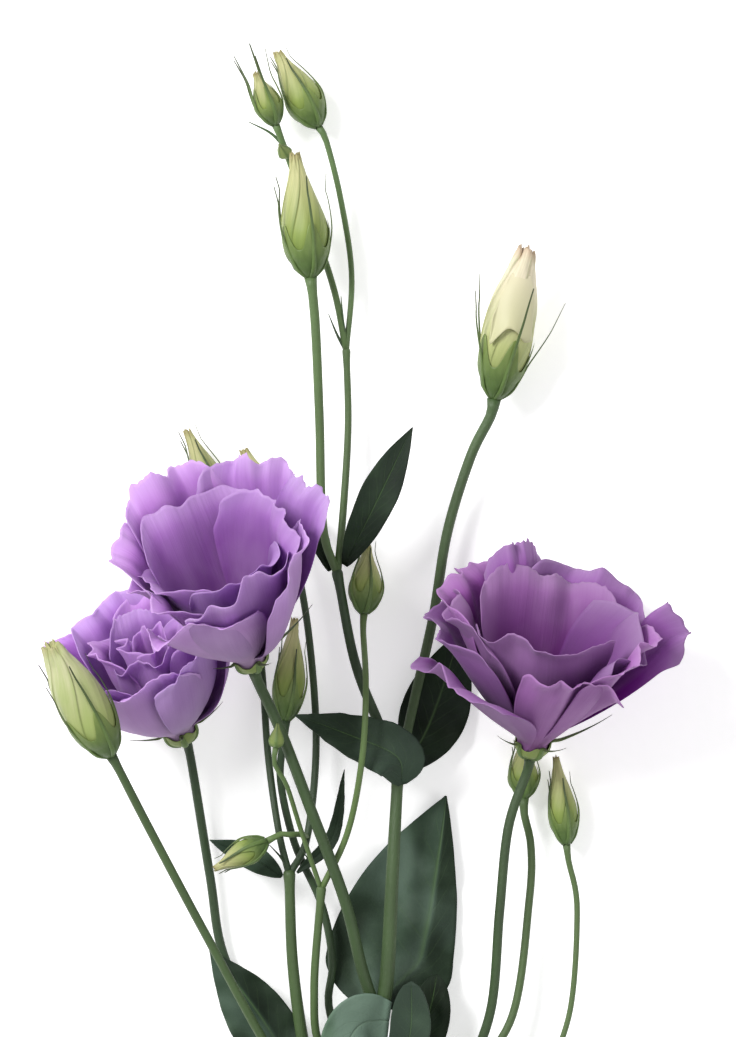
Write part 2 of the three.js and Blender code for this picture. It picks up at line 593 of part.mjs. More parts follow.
function petal(frame, shape, claw) {
  const { turn, half, wave, roll = [0, 0] } = shape;
  const profile = petalProfile(shape, claw);
  const out = turned(frame, radians(turn));
  const aside = turned(frame, radians(turn + 90));
  const start = plus(frame.foot, [frame.axis, CORE_START]);
  return (across, along) => {
    const share = along * (1 - RIM_ROUND * abs(across) ** RIM_POWER);
    const [distance, height, lean] = profile(share);
    const reach = half * (CLAW_WIDTH + (1 - CLAW_WIDTH) * sin(PI / 2 * min(1, share / 0.72)));
    const bend = min(HUG * cos(lean) / distance, FURTHEST_BEND / reach);
    const inward = plus(new THREE.Vector3(), [out, -cos(lean)], [frame.axis, sin(lean)]);
    const side = sin(bend * reach * across) / bend;
    const cup = (1 - cos(bend * reach * across)) / bend;
    const [depth, crests, phase] = wave;
    const ruffle = depth * sin(PI * crests * across + phase) * along ** 3;
    const edge = across < 0 ? roll[0] : roll[1];
    const turnedOut = edge * smooth((abs(across) - 0.3) / 0.7) * along ** 2;
    return plus(start, [out, distance], [frame.axis, height], [aside, side],
      [inward, cup + ruffle - turnedOut + SKEW * reach * across * smooth(along * 3)]);
  };
}

function corolla(bloom) {
  const frame = axes(bloom.foot, bloom.facing);
  const core = skin([[0, 0.8], [0.4, 1], [1, 0.9]].map(([share, wide]) => (
    roundRing(frame, CORE_SIDES, CORE_START + share * CORE_HEIGHT, CORE_RADIUS * wide))));
  const whorl = (shapes, columns, claw) => shapes.map((shape) => (
    blade(columns, PETAL_ROWS, PETAL_THICKNESS, petal(frame, shape, claw))));
  return join([core, ...whorl(bloom.outer, OUTER_COLUMNS, OUTER_CLAW),
    ...whorl([...bloom.inner, ...bloom.heart || []], INNER_COLUMNS, INNER_CLAW)]);
}

// The bloom's calyx stays outside its petals: each sepal leans out more than they do.
function bloomCalyx(bloom) {
  const frame = { ...axes(bloom.foot, bloom.facing), seat: CORE_START - 2 * SEAT_GAP };
  const sepals = bloom.sepals.map(([turn, long, lean]) => {
    const points = [[1.4, 1.6], [1.8, 4.9], [3.4, 6.2]];
    for (const share of [0.5, 1]) {
      const angle = radians(lean) * mix(1, 0.85, share);
      points.push([5.2 + share * (long - 3) * cos(angle), 5.8 + share * (long - 1) * sin(angle)]);
    }
    return { turn: radians(turn), half: 1.9, points };
  });
  return calyx(frame, 1.6, 4.1, sepals);
}

const LOBE_SIDES = 4; // of the stigma

// The pistil: an ovary, its style and a stigma of two lobes, on top of the core.
function pistil(bloom) {
  const frame = axes(bloom.foot, bloom.facing);
  const start = CORE_START + CORE_HEIGHT + SEAT_GAP;
  const body = skin([[0, 0.9], [2, 1.3], [7, 0.6], [13, 0.5]].map(([height, radius]) => (
    roundRing(frame, STEM_SIDES, start + height, radius))));
  const lobes = [-1, 1].map((side) => {
    const lobe = { ...frame, foot: plus(frame.foot, [frame.right, 0.9 * side]) };
    return skin([[12.4, 0.5], [13.2, 1.1], [14.2, 1]].map(([height, radius]) => (
      roundRing(lobe, LOBE_SIDES, start + height, radius))));
  });
  return join([body, ...lobes]);
}

// Five stamens on a ring round the foot of the ovary.
function stamens(bloom) {
  const frame = axes(bloom.foot, bloom.facing);
  const start = CORE_START + CORE_HEIGHT + SEAT_GAP;
  const ring = new THREE.LatheGeometry([[1.7, 0], [2.3, 0], [2.3, 0.7], [1.7, 0.7], [1.7, 0]]
    .map(([radius, height]) => new THREE.Vector2(radius, height)), STEM_SIDES);
  const upright = new THREE.Quaternion().setFromUnitVectors(new THREE.Vector3(0, 1, 0), frame.axis);
  ring.applyQuaternion(upright);
  ring.translate(...plus(frame.foot, [frame.axis, start]).toArray());
  const filaments = [];
  for (let k = 0; k < 5; k += 1) {
    const angle = 2 * PI * (k + 0.5) / 5;
    const rings = [[0.2, 0.4, 0], [9, 0.8, 0.6], [11.5, 0.36, 0.9]]
      .map(([height, radius, lean]) => {
        const own = { ...frame, foot: plus(frame.foot, [turned(frame, angle), 2 + lean]) };
        return roundRing(own, 3, start + height, radius);
      });
    filaments.push(skin(rings));
  }
  return join([ring, ...filaments]);
}

// ---------------------------------------------------------------- the part

const part = new THREE.Group();

function add(name, geometry, look) {
  const mesh = new THREE.Mesh(geometry, new THREE.MeshStandardMaterial(COLOURS[look]));
  mesh.name = name;
  part.add(mesh);
}

add('stem', stem(), 'stem');
for (const [name, shape] of Object.entries(LEAVES)) add(`leaf_${name}`, leaf(shape), 'leaf');
for (const [name, bud] of Object.entries(BUDS)) {
  add(`bud_${name}_corolla`, budCorolla(bud), bud.full ? 'creamBud' : 'bud');
  add(`bud_${name}_calyx`, budCalyx(bud), 'calyx');
}
for (const [name, bud] of Object.entries(CLOSED_BUDS)) add(`bud_${name}`, closedBud(bud), 'calyx');
for (const [name, bloom] of Object.entries(BLOOMS)) {
  add(`bloom_${name}_petals`, corolla(bloom), 'petal');
  add(`bloom_${name}_calyx`, bloomCalyx(bloom), 'calyx');
  add(`bloom_${name}_pistil`, pistil(bloom), 'pistil');
  add(`bloom_${name}_stamens`, stamens(bloom), 'stamen');
}
part.position.set(-CENTRE[0], -CENTRE[1], 0);

export default part;
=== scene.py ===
# The looks of a cut flowering stem of lisianthus that lies on a white surface, seen from straight
# above. Places and sizes are in millimetres, as in the CAD part, and become metres in make().

import math

import bpy
import numpy as np
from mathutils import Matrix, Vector


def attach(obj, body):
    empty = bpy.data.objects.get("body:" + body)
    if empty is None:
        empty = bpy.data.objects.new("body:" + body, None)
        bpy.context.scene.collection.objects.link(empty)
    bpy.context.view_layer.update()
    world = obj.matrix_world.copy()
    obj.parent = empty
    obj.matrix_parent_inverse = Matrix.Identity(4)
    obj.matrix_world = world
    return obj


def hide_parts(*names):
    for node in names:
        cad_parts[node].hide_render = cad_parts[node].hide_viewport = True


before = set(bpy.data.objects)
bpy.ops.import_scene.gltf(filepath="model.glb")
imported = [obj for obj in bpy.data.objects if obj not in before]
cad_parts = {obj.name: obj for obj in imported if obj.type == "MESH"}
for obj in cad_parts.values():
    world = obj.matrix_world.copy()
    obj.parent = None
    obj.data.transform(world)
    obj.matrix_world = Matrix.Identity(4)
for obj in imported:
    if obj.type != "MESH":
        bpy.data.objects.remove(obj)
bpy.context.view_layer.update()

# ---------------------------------------------------------------- places, as in the CAD part

SHIFT = np.array([0.0, 1.0, 0.0])  # the CAD part is moved by this to stand over the origin
SEAT_GAP = 0.35
SINK = 0.15  # how far a calyx stands into the stem's end that carries it

# Forks of the stem.
FORK = dict(
    foot=[2, -150, 5.5],
    lower=[3, -132, 9],
    leafy=[4, -113, 12.5],
    middle=[9, -43, 14],
    upper=[-8, 13, 14],
    top=[-5.5, 75.5, 8],
    side=[-12, -138, 7],
    right=[27, -131, 9],
    left=[-21.5, -71.5, 14],
    inner=[-12.5, -75.5, 17.5],
    twig=[-16.5, -61, 11],
)

# Branches: what they carry, radius at start and end, how young and pale their green is, and the
# forks and points that they run through.
BRANCHES = [
    dict(radii=[2.6, 1.6], young=0.2, through=[[1, -164, 2.6],
         "foot", "lower", "leafy", [6, -99, 15], [7.5, -70, 16], "middle"]),
    dict(carries="cream", radii=[1.35, 1.5], young=0.2, through=["middle", [14, -21, 8], [19, 1, 7],
         [23, 25, 8.5], [29.5, 46, 9.5]]),
    dict(radii=[1.5, 1.3], through=["middle", [4, -30, 13], [-3, -12, 13], "upper"]),
    dict(carries="tall", radii=[1.2, 1.35], young=0.45, through=["upper", [-12, 26, 15],
         [-13, 56, 15.5], [-14, 80, 17]]),
    dict(radii=[1.1, 0.95], young=0.4, through=["upper", [-6.5, 29, 11], [-5, 54, 9], "top"]),
    dict(carries="top", radii=[0.8, 0.85], young=0.4, through=["top", [-4, 97, 7], [-7, 118, 6.5]]),
    dict(carries="far", radii=[0.95, 0.9], young=0.5, through=["top", [-9, 93, 9], [-16, 114, 5]]),
    dict(carries="front", radii=[1.7, 1.5], young=0.15, through=["leafy", [-1, -98, 17],
         [-6, -78, 21], [-16, -51, 26], [-24, -30, 29.5]]),
    dict(carries="hidden", radii=[1.15, 1.05], through=["lower", [-6.5, -120, 10], [-10.5, -108, 9],
         [-9.4, -96, 9], [-12.5, -80, 8.5], [-20, -63, 9], [-24, -45, 11]]),
    dict(radii=[2, 1.8], young=0.8, through=["foot", "side"]),
    dict(radii=[1.9, 1.4], young=0.3, through=["side", [-17, -122, 10], [-20.5, -97, 12.5], "left"]),
    dict(carries="back", radii=[1.05, 1], through=["left", "twig", [-14, -35, 8], [-16, -5, 6.5]]),
    dict(carries="left_top", radii=[1, 1], through=["left", [-24.5, -59, 14.5], [-27.5, -38, 10],
         [-30, -8, 5]]),
    dict(carries="side", radii=[0.8, 0.8], young=0.8, through=["twig", [-18.5, -60, 16.5],
         [-21.5, -60, 19]]),
    dict(radii=[1.15, 1.1], young=0.45, through=["lower", [-12, -121, 13], [-14.5, -104, 15],
         "inner"]),
    dict(carries="mid", radii=[0.9, 0.85], young=0.8, through=["inner", [-5, -59, 20], [-1, -38, 27],
         [0, -18, 25]]),
    dict(carries="small", radii=[0.7, 0.65], young=0.7, through=["inner", [-18, -59, 22],
         [-22, -46, 29]]),
    dict(carries="left", radii=[1.3, 1.2], young=0.3, through=["side", [-25, -124, 14],
         [-44, -89, 24], [-60, -58, 34]]),
    dict(carries="backmost", radii=[1.35, 1.25], through=["side", [-28, -118, 4.5], [-40, -95, 3.6],
         [-44, -72, 4.5]]),
    dict(radii=[2, 1.8], young=0.55, through=["lower", [14, -133, 8], "right"]),
    dict(carries="right_bloom", radii=[1.35, 1.35], young=0.1, through=["right", [35, -110, 12],
         [37.5, -82, 14.5], [40, -58, 15]]),
    dict(carries="under", radii=[1.15, 1.1], young=0.4, through=["right", [41, -112, 9],
         [46, -79, 7], [46.5, -64, 6.5]]),
    dict(carries="right", radii=[0.8, 0.85], young=0.55, through=["right", [48, -127, 9],
         [57, -112, 9], [59.5, -82, 7]]),
]

# Threadlike bracts at the forks: radius at foot and tip, and the points of each.
BRACT = [0.6, 0.12]
BRACTS = [
    ["top", [-8, 80, 8.5], [-10.5, 86, 10]],
    ["top", [-6.2, 82, 9], [-7, 91, 11]],
    ["inner", [-15, -69, 18], [-18, -64, 19]],
    ["left", [-23.5, -67, 15.5], [-27, -63, 17]],
    [[-23.2, 133.5, 10.4], [-27, 137, 10.5], [-33, 140, 11]],
]

# Buds: foot and tip, greatest radius, how far the sepals stand off and how far up they reach,
# whether it is about to open (full), and how green the petals still are (fresh).
BUDS = dict(
    left=dict(foot=[-70.5, -37, 43.2], tip=[-87, -6, 56.2], radius=7, stand=0.9, reach=0.8,
        full=True, fresh=0.75),
    left_top=dict(foot=[-38, 26, 7], tip=[-50.5, 53.5, 8], radius=5, stand=0.8, reach=0.95),
    back=dict(foot=[-22.5, 24, 7], tip=[-34.5, 48, 8], radius=5.4, stand=0.6, reach=0.7),
    tall=dict(foot=[-15.5, 96, 18], tip=[-20, 131, 19], radius=6.6, stand=3, reach=0.78),
    top=dict(foot=[-13.5, 139, 7.2], tip=[-25, 160, 8], radius=5.3, stand=0.6, reach=0.93),
    far=dict(foot=[-25.5, 139.5, 12.5], tip=[-31, 153.5, 16.5], radius=3.7, stand=4, reach=1.4),
    cream=dict(foot=[36, 62, 11], tip=[45, 104.5, 14.5], radius=7.4, stand=6, reach=0.72,
        full=True, fresh=0),
    mid=dict(foot=[-0.5, 2, 13], tip=[0.5, 21, 10.5], radius=4.6, stand=0.6, reach=1.02),
    hidden=dict(foot=[-22.5, -28, 13], tip=[-20, 0.5, 12], radius=4.5, stand=0.4, reach=0.75),
    side=dict(foot=[-28, -62, 20], tip=[-42.5, -69.5, 22], radius=3.7, stand=0.4, reach=0.92),
    right=dict(foot=[56.5, -63, 6.3], tip=[53.5, -38.5, 6.8], radius=4.1, stand=0.3, reach=0.8),
    under=dict(foot=[44.5, -50, 6], tip=[44, -34, 5.2], radius=4.2, stand=1, reach=0.95),
)

# Small buds, still closed in their sepals.
CLOSED_BUDS = dict(
    small=dict(foot=[-25, -35, 33], tip=[-24.5, -28.5, 34.5], radius=2.1),
    far_side=dict(foot=[-22.3, 130.6, 11.8], tip=[-24.2, 133.3, 16.4], radius=2),
)

# Leaves: midrib, half width, where it is widest, fold along the midrib, roll, wave, width at the foot
# (base), sharpness of the tip (the smaller, the blunter), how bluish it is, fine edge ripple (frill),
# and how far right of the middle a raised rib lies (crease). On a creased leaf, painted shade darkens
# the part right of the rib.
LEAVES = dict(
    upper_right=dict(midrib=[[-5.9, 15.4, 14.6], [3, 33, 21], [13, 54, 24]], half=5.6, widest=0.5,
        fold=0.22, roll=-20, wave=0.3),
    upper_left=dict(midrib=[[-10.2, 13.8, 12.6], [-14, 24, 9.5], [-18.5, 33.5, 6]], half=3,
        widest=0.5, fold=0.3, roll=25, wave=0.2),
    middle_left=dict(midrib=[[10.1, -46, 16.7], [8.5, -38, 21], [-5, -32, 19.5], [-20, -26.5, 19]],
        half=7.6, widest=0.25, fold=0.2, roll=15, wave=0.5, bluish=0.14, frill=0.8),
    middle_right=dict(midrib=[[11.2, -42, 11], [18.5, -28, 4], [27, -3, 2]], half=9.5,
        widest=0.45, fold=0.07, roll=0, wave=0.5, frill=0.5),
    foot_large=dict(midrib=[[4.6, -109, 10.35], [6, -101, 7.2], [8, -91, 5.5], [13.5, -73, 4.5],
        [22.6, -49.7, 4]], half=18, widest=0.2, fold=-0.09, roll=0, wave=0.9, base=0.4,
        bluish=0.42, frill=0.5, crease=0.48),
    foot_left=dict(midrib=[[-20.2, -128.3, 7.9], [-31, -111, 8.3], [-44, -93, 8]], half=9,
        widest=0.35, fold=0.1, roll=0, wave=0.5, bluish=0.4, frill=0.5, crease=0.1),
    foot_front=dict(midrib=[[6.6, -112.4, 15.3], [3.8, -112.2, 15.8], [-1, -112.8, 20.2],
        [-4.6, -117, 23.5], [-8, -128, 24.5], [-10, -139, 21]], half=8.6, widest=0.3, fold=0.08,
        roll=-13, wave=0.4, base=0.66, bluish=1),
    foot_right=dict(midrib=[[6, -130, 11.5], [12.2, -117, 17.4], [12.8, -101, 19]], half=5.8,
        widest=0.6, fold=0.2, roll=-15, wave=0.4, blunt=0.5, bluish=0.12),
    foot_back=dict(midrib=[[6.3, -133.3, 5.6], [10.5, -128, 6.4], [15, -120, 9.5], [18.2, -109, 11],
        [20, -99.5, 10.5]], half=6.3, widest=0.6, fold=0.1, roll=0, wave=0.4, blunt=0.55),
    side_small=dict(midrib=[[-23.6, -72, 12], [-32, -67, 8.5], [-44, -62, 7]], half=3.6,
        widest=0.4, fold=0.3, roll=10, wave=0.3, bluish=0.35),
    bract=dict(midrib=[[-19.3, -71, 13], [-9.5, -61, 12], [-6, -42, 12]], half=1.9, widest=0.35,
        fold=0.3, roll=0, wave=0.15, bluish=0.15),
)


def petal(turn, long, spread, half, wave, curl, roll=(0, 0)):
    """A petal: its turn round the axis, length, lean at foot and rim, half width, ruffle (depth,
    crests, phase), flare of the rim, and how far its two edges turn outwards."""
    return dict(turn=turn, long=long, spread=spread, half=half, wave=wave, curl=curl, roll=roll)


# Blooms: the branch that carries each, how dark and pink it is (dusk, where a negative dusk is
# painted light that lifts a bloom lying in another's shade), its foot and direction, its petals from
# the outside in, and its sepals' turn, length and lean.
BLOOMS = dict(
    right=dict(
        branch="right_bloom",
        dusk=1,
        foot=[46, -38, 18],
        facing=[0.147, 0.865, 0.48],
        outer=[
            petal(20, 46, [42, 22], 15, [1.6, 2, 0.4], 5, [-2, 8]),
            petal(64, 52, [38, 20], 17, [1.8, 2, 1.4], 8),
            petal(118, 55, [48, 36], 10, [1.8, 2, 0], 8, [3, 3]),
            petal(160, 53, [46, 28], 18, [2.6, 2, 2.0], 10),
            petal(204, 58, [38, 22], 10, [2.4, 1, 0.6], 4, [4, 5]),
            petal(242, 54, [43, 26], 20, [2.2, 2, 1.0], 8),
            petal(276, 49, [47, 30], 20, [2.0, 2, 2.0], 8),
            petal(308, 46, [52, 43], 19, [1.6, 2, 2.6], 9, [0, 4]),
        ],
        inner=[
            petal(345, 50, [31, 15], 22, [2.6, 2, 2.2], 9),
            petal(86, 49, [33, 18], 20, [2.0, 2, 0.2], 10),
            petal(188, 49, [37, 20], 23, [2.2, 2, 1.1], 9),
            petal(266, 50, [41, 23], 21, [2.0, 2, 2.9], 10),
        ],
        sepals=[[35, 14, 60], [100, 20, 62], [175, 14, 62], [245, 14, 60], [315, 12, 62]],
    ),
    front=dict(
        branch="front",
        dusk=0,
        foot=[-31.2, -13, 37],
        facing=[-0.23, 0.75, 0.62],
        outer=[
            petal(12, 50, [40, 10], 19, [1.2, 2, 0.4], 6),
            petal(60, 52, [50, 4], 19, [1.4, 2, 1.8], 6),
            petal(116, 55, [44, 20], 11, [1.8, 2, 0.8], 16, [2, 4]),
            petal(150, 57, [42, 22], 15, [2.4, 2, 2.3], 8),
            petal(196, 58, [36, 22], 16, [2.2, 2, 0.2], 8),
            petal(238, 52, [38, 18], 19, [2.0, 2, 2.0], 10),
            petal(282, 44, [38, 12], 16, [1.8, 2, 1.2], 12),
            petal(330, 43, [44, 20], 17, [1.6, 2, 1.2], 10, [4, 0]),
        ],
        inner=[
            petal(20, 47, [26, 12], 18, [1.8, 2, 1.2], 8),
            petal(100, 51, [30, 10], 18, [2.0, 2, 2.8], 8),
            petal(190, 50, [32, 16], 21, [2.0, 2, 0.9], 8),
            petal(280, 45, [30, 14], 18, [1.8, 2, 2.6], 10),
        ],
        sepals=[[20, 14, 60], [90, 20, 62], [160, 10, 58], [240, 6, 54], [300, 9, 60]],
    ),
    back=dict(
        branch="backmost",
        # painted light: lifts the back bloom, which lies in the front bloom's shade
        dusk=-0.35,
        foot=[-51, -34.5, 9],
        facing=[-0.31, 0.81, 0.49],
        outer=[
            petal(345, 41, [54, 6], 17, [1.4, 2, 0.6], 12),
            petal(38, 41, [56, 2], 17, [1.4, 2, 1.6], 10),
            petal(95, 40, [58, 2], 16, [1.4, 2, 2.6], 6),
            petal(150, 42, [48, 8], 16, [1.8, 2, 0.2], 8),
            petal(204, 43, [44, 8], 16, [1.8, 2, 1.1], 8),
            petal(256, 46, [48, 16], 16, [1.6, 2, 2.1], 10),
            petal(302, 40, [54, 10], 15, [1.4, 2, 2.1], 10),
        ],
        inner=[
            petal(350, 36, [30, -8], 13, [1.8, 2, 2.4], 10),
            petal(80, 36, [32, -4], 13, [1.8, 2, 0.4], 10),
            petal(170, 38, [34, -2], 13, [1.8, 2, 1.5], 10),
            petal(260, 38, [34, -4], 13, [1.8, 2, 2.7], 10),
        ],
        heart=[
            petal(30, 34, [14, -12], 8, [1.6, 2, 0.5], 8),
            petal(150, 35, [16, -10], 8, [1.6, 2, 1.6], 8),
            petal(265, 36, [18, -12], 8, [1.8, 2, 2.6], 8),
        ],
        sepals=[[0, 10, 66], [75, 12, 66], [150, 12, 66], [220, 12, 66], [290, 12, 66]],
    ),
)

# ---------------------------------------------------------------- sizes, counts and shares

SCALE = 0.001  # metres in a millimetre

# Camera and studio, in metres.
LENS_DISTANCE = 2.0  # from the camera to the height that the framing is measured at
FRAMING_HEIGHT = 0.035
VIEW_HEIGHT = 0.288  # length of the surface that fills the picture from bottom to top
VIEW_CENTRE = (0.0006, 0.0295)
SENSOR = 24.0
SKY_LIGHT = 0.46
FLOOR_REACH = 3.0
FLOOR_GLOW = 0.42

# Stem.
STEM_SIDES = 14
STEM_STEP = 2.5
RIDGE = 0.025  # how far the four ridges stand out, as a share of the radius
NODE_SWELL = 1.25
RECEPTACLE_SWELL = 1.35
SWELL_LENGTH = 4
NECK = 5  # straight end of a branch under what it carries
DOME = (0.35, 0.65, 0.88)  # heights of the rings that close a bare end, as shares of its radius

# Leaves.
LEAF_THICKNESS = 0.5
LEAF_COLUMNS = 28
LEAF_ROW = 1.3  # spacing of a leaf's rows
LEAF_BASE = 0.16  # base and blunt where a leaf's row doesn't say
LEAF_BLUNT = 0.95
LEAF_POINT = 0.015
SIDE_VEINS = 9.0
VEIN_SWEEP = 2.6  # how far the side veins lean forward
RIPPLES = 5.5  # half waves along an edge
FRILLS = 11  # the same, of the fine ripple
GROOVE = 0.3  # depth of the midrib's groove
QUILT = 0.11  # height of the swelling between two side veins
CREASE_HEIGHT = 0.27  # share of the half width that a raised rib stands up

# Buds: outlines as share of the length and share of the greatest radius.
CUP_SHARE = 0.06  # share of a bud's length that its seat takes up
SLIM = [[0, 0.4], [0.05, 0.68], [0.14, 0.88], [0.32, 1], [0.56, 0.76], [0.82, 0.36], [1, 0.2]]
FULL = [[0, 0.4], [0.05, 0.64], [0.14, 0.84], [0.34, 1], [0.6, 0.9], [0.84, 0.54], [1, 0.32]]
FURLS = 5
BUD_ROWS = 44
FURL_COLUMNS = 16
FURL_STEP = 0.05  # how far a petal's edge stands over the next, as a share of the radius
FURL_TWIST = 1.5
FRESH = 0.15  # how green a bud's petals are, where the table doesn't say
CLOSED_ROWS = 24
CLOSED_SIDES = 60

# The cream bud's flap: angle to the right of the bud's near side, share of its length.
FLAP_EDGE = [[-1.0, 0.4], [-0.6, 0.36], [-0.25, 0.42], [0.05, 0.43], [0.3, 0.36], [0.5, 0.3],
             [0.56, 0.36], [0.62, 0.5]]
FLAP_TOP = 0.82
FLAP_ROWS = 18
FLAP_THICKNESS = 0.22

# Calyces.
SEPALS = 5
KEEL_ROWS = 30
KEEL_SIDES = 10
BUD_KEEL = [0.75, 0.7, 0.62, 0.53, 0.46, 0.39, 0.33, 0.27, 0.18]  # half width from foot to tip
BLOOM_KEEL = [0.9, 1.0, 0.9, 0.75, 0.6, 0.45, 0.3, 0.2, 0.12]
CALYX_COLUMNS = 80
CALYX_ROWS = 14
CALYX_TURN = 0.25  # of the way between two sepals: where the first sepal stands
MEMBRANE = 0.12  # thickness of the pale skin between a calyx's keels
CUP_FOOT = 1.2  # radius of a bud's calyx at the stem
CUP_RISE = 0.05  # share of a bud over which its cup rises from the stem
CUP_SWELL = 0.036  # share of a bud over which its cup widens
BULB = [[0, 1.6], [0.9, 3.1], [2.2, 4.3], [3.8, 4.8], [5.6, 5.0]]  # height over its seat, radius
SEPAL_FOOT = (5.2, 5.8)  # height and distance at which a bloom's sepal leaves its cup

# Petals.
OUTER_CLAW = 4  # distance from the axis of the outer petals' feet
INNER_CLAW = 3.2
CLAW_WIDTH = 0.08
TUBE = 0.1  # share of a petal that stands upright inside the calyx
BROADEST = 0.72  # share of a petal's length at which it reaches its full width
RIM_ROUND = 0.17
RIM_POWER = 3.4
SKEW = 0.18
HUG = 0.9
FURTHEST_BEND = 1.2
PETAL_COLUMNS = 52
PETAL_ROWS = 46
PROFILE_STEPS = 24
PETAL_THICKNESS = (0.42, 0.15)  # at the foot and at the rim
BROAD_NOTCH = 0.022  # of the petal's length
FINE_NOTCH = 0.009
BROAD_FRILL = 1.5
FINE_FRILL = 0.3
PLEAT = 0.42
LIP = 1.3

# The core that the petals' feet stand in, and what stands on it: height and radius of the pistil's
# parts, and distance from the axis and height of the points along a thread and its anther.
CORE_RADIUS = 4.2
CORE_HEIGHT = 3
CORE_START = 2.6
CORE_ROWS = 8
CORE_SIDES = 32
OVARY = [[0, 0.9], [1, 1.2], [2.4, 1.3], [4.5, 1], [7, 0.6], [10, 0.5], [13, 0.5]]
STIGMA = [[12.4, 0.4], [12.8, 0.9], [13.4, 1.1], [14.2, 0.8]]
STIGMA_SPREAD = 0.8
PISTIL_SIDES = 20
STAMENS = 5
THREAD = [[2.0, 0], [2.3, 5], [2.6, 9]]
ANTHER = [[0, -0.8], [0, 0.9], [0.2, 2.4]]
RING_POINTS = 30

# Seeds of the first leaf, bud and bloom.
LEAF_SEED = 100
BUD_SEED = 200
BLOOM_SEED = 300


# ---------------------------------------------------------------- camera and light

def set_camera():
    data = bpy.data.cameras.new("camera")
    data.type = "PERSP"
    data.sensor_fit = "VERTICAL"
    data.sensor_height = SENSOR
    data.lens = SENSOR * LENS_DISTANCE / VIEW_HEIGHT
    camera = bpy.data.objects.new("camera", data)
    camera.location = (*VIEW_CENTRE, LENS_DISTANCE + FRAMING_HEIGHT)
    bpy.context.scene.collection.objects.link(camera)
    bpy.context.scene.camera = camera


def add_light(name, place, size, power):
    data = bpy.data.lights.new(name, "AREA")
    data.size = size
    data.energy = power
    light = bpy.data.objects.new(name, data)
    light.location = place
    light.rotation_euler = (-Vector(place)).to_track_quat("-Z", "Y").to_euler()
    bpy.context.scene.collection.objects.link(light)


def set_lights():
    world = bpy.data.worlds.new("studio")
    world.use_nodes = True
    background = world.node_tree.nodes["Background"]
    background.inputs["Color"].default_value = (1, 1, 1, 1)
    background.inputs["Strength"].default_value = SKY_LIGHT
    bpy.context.scene.world = world
    add_light("key", (-0.95, 0.7, 1.25), 0.6, 28)
    add_light("fill", (0.9, -0.3, 1.6), 1.2, 7)
    bpy.context.scene.view_settings.view_transform = "Standard"


# ---------------------------------------------------------------- vectors and curves

def unit(vector):
    return vector / np.linalg.norm(vector)


def mix(a, b, t):
    return a + (b - a) * t


def smooth(t):
    x = np.clip(t, 0, 1)
    return x * x * (3 - 2 * x)


def around(count, offset=0):
    """Evenly spaced angles over one turn."""
    return math.tau * (np.arange(count) + offset) / count


def route(points, samples=40):
    """A smooth curve through points: places on it, and the length run at each of them."""
    p = np.array(points, float)
    p = np.vstack([2 * p[0] - p[1], p, 2 * p[-1] - p[-2]])
    t = np.linspace(0, 1, samples, endpoint=False)[:, None]
    parts = []
    for k in range(1, len(p) - 2):
        a, b = p[k], p[k + 1]
        slope_a, slope_b = (b - p[k - 1]) / 2, (p[k + 2] - a) / 2
        parts.append((2 * t ** 3 - 3 * t ** 2 + 1) * a + (t ** 3 - 2 * t ** 2 + t) * slope_a
                     + (3 * t ** 2 - 2 * t ** 3) * b + (t ** 3 - t ** 2) * slope_b)
    places = np.vstack(parts + [p[-2:-1]])
    steps = np.linalg.norm(np.diff(places, axis=0), axis=1)
    return places, np.concatenate([[0], np.cumsum(steps)])


def flat_route(pairs, samples=40):
    """A smooth curve through pairs of values, as places with a third value of 0."""
    return route([[a, b, 0] for a, b in pairs], samples)


def along_route(curve, shares):
    """Places and directions at shares of a curve's length."""
    places, length = curve
    at = np.asarray(shares) * length[-1]
    point = np.stack([np.interp(at, length, places[:, k]) for k in range(3)], axis=1)
    slope = np.gradient(places, length, axis=0)
    direction = np.stack([np.interp(at, length, slope[:, k]) for k in range(3)], axis=1)
    return point, direction / np.linalg.norm(direction, axis=1, keepdims=True)


def axes(foot, facing):
    """The place and directions of a bud or bloom: its axis, its side nearest the sky, its right."""
    axis = unit(np.array(facing, float))
    sky = np.array([0.0, 0.0, 1.0])
    near = unit(sky - sky.dot(axis) * axis)
    return dict(foot=np.array(foot, float), axis=axis, near=near, right=np.cross(axis, near))


def turned(place, angle):
    """The direction away from the axis at an angle round it."""
    return place["near"] * math.cos(angle) + place["right"] * math.sin(angle)


def spin(place, angle, radius, height):
    """Points at an angle round the axis, a distance from it and a height along it."""
    angle, radius, height = (value[..., None] for value in np.broadcast_arrays(angle, radius, height))
    out = place["near"] * np.cos(angle) + place["right"] * np.sin(angle)
    return place["foot"] + out * radius + place["axis"] * height


def waves(rng, count, across, along):
    """A smooth random relief over a sheet, of height about 1, from waves of those frequencies."""
    made = [(rng.normal(0, across), rng.normal(0, along), rng.uniform(0, math.tau))
            for _ in range(count)]
    return lambda u, v: sum(np.sin(a * u + b * v + c) for a, b, c in made) / math.sqrt(count)


# ---------------------------------------------------------------- meshes

class Skin:
    """Gathers points, faces and per-point values of one piece."""

    def __init__(self, *values):
        self.points, self.faces, self.count = [], [], 0
        self.values = {name: [] for name in values}

    def add(self, points, faces, **values):
        self.points.append(points)
        self.faces += [[index + self.count for index in face] for face in faces]
        for name, store in self.values.items():
            store.append(np.broadcast_to(values.get(name, 0.0), len(points)))
        self.count += len(points)

    def make(self, name, material, node):
        mesh = bpy.data.meshes.new(name)
        mesh.from_pydata(((np.vstack(self.points) + SHIFT) * SCALE).tolist(), [], self.faces)
        for key, store in self.values.items():
            layer = mesh.attributes.new(key, "FLOAT", "POINT")
            layer.data.foreach_set("value", np.concatenate(store).astype(np.float32))
        mesh.polygons.foreach_set("use_smooth", [True] * len(mesh.polygons))
        mesh.materials.append(material)
        mesh.update()
        piece = bpy.data.objects.new(name, mesh)
        bpy.context.scene.collection.objects.link(piece)
        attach(piece, "root")
        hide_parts(node)


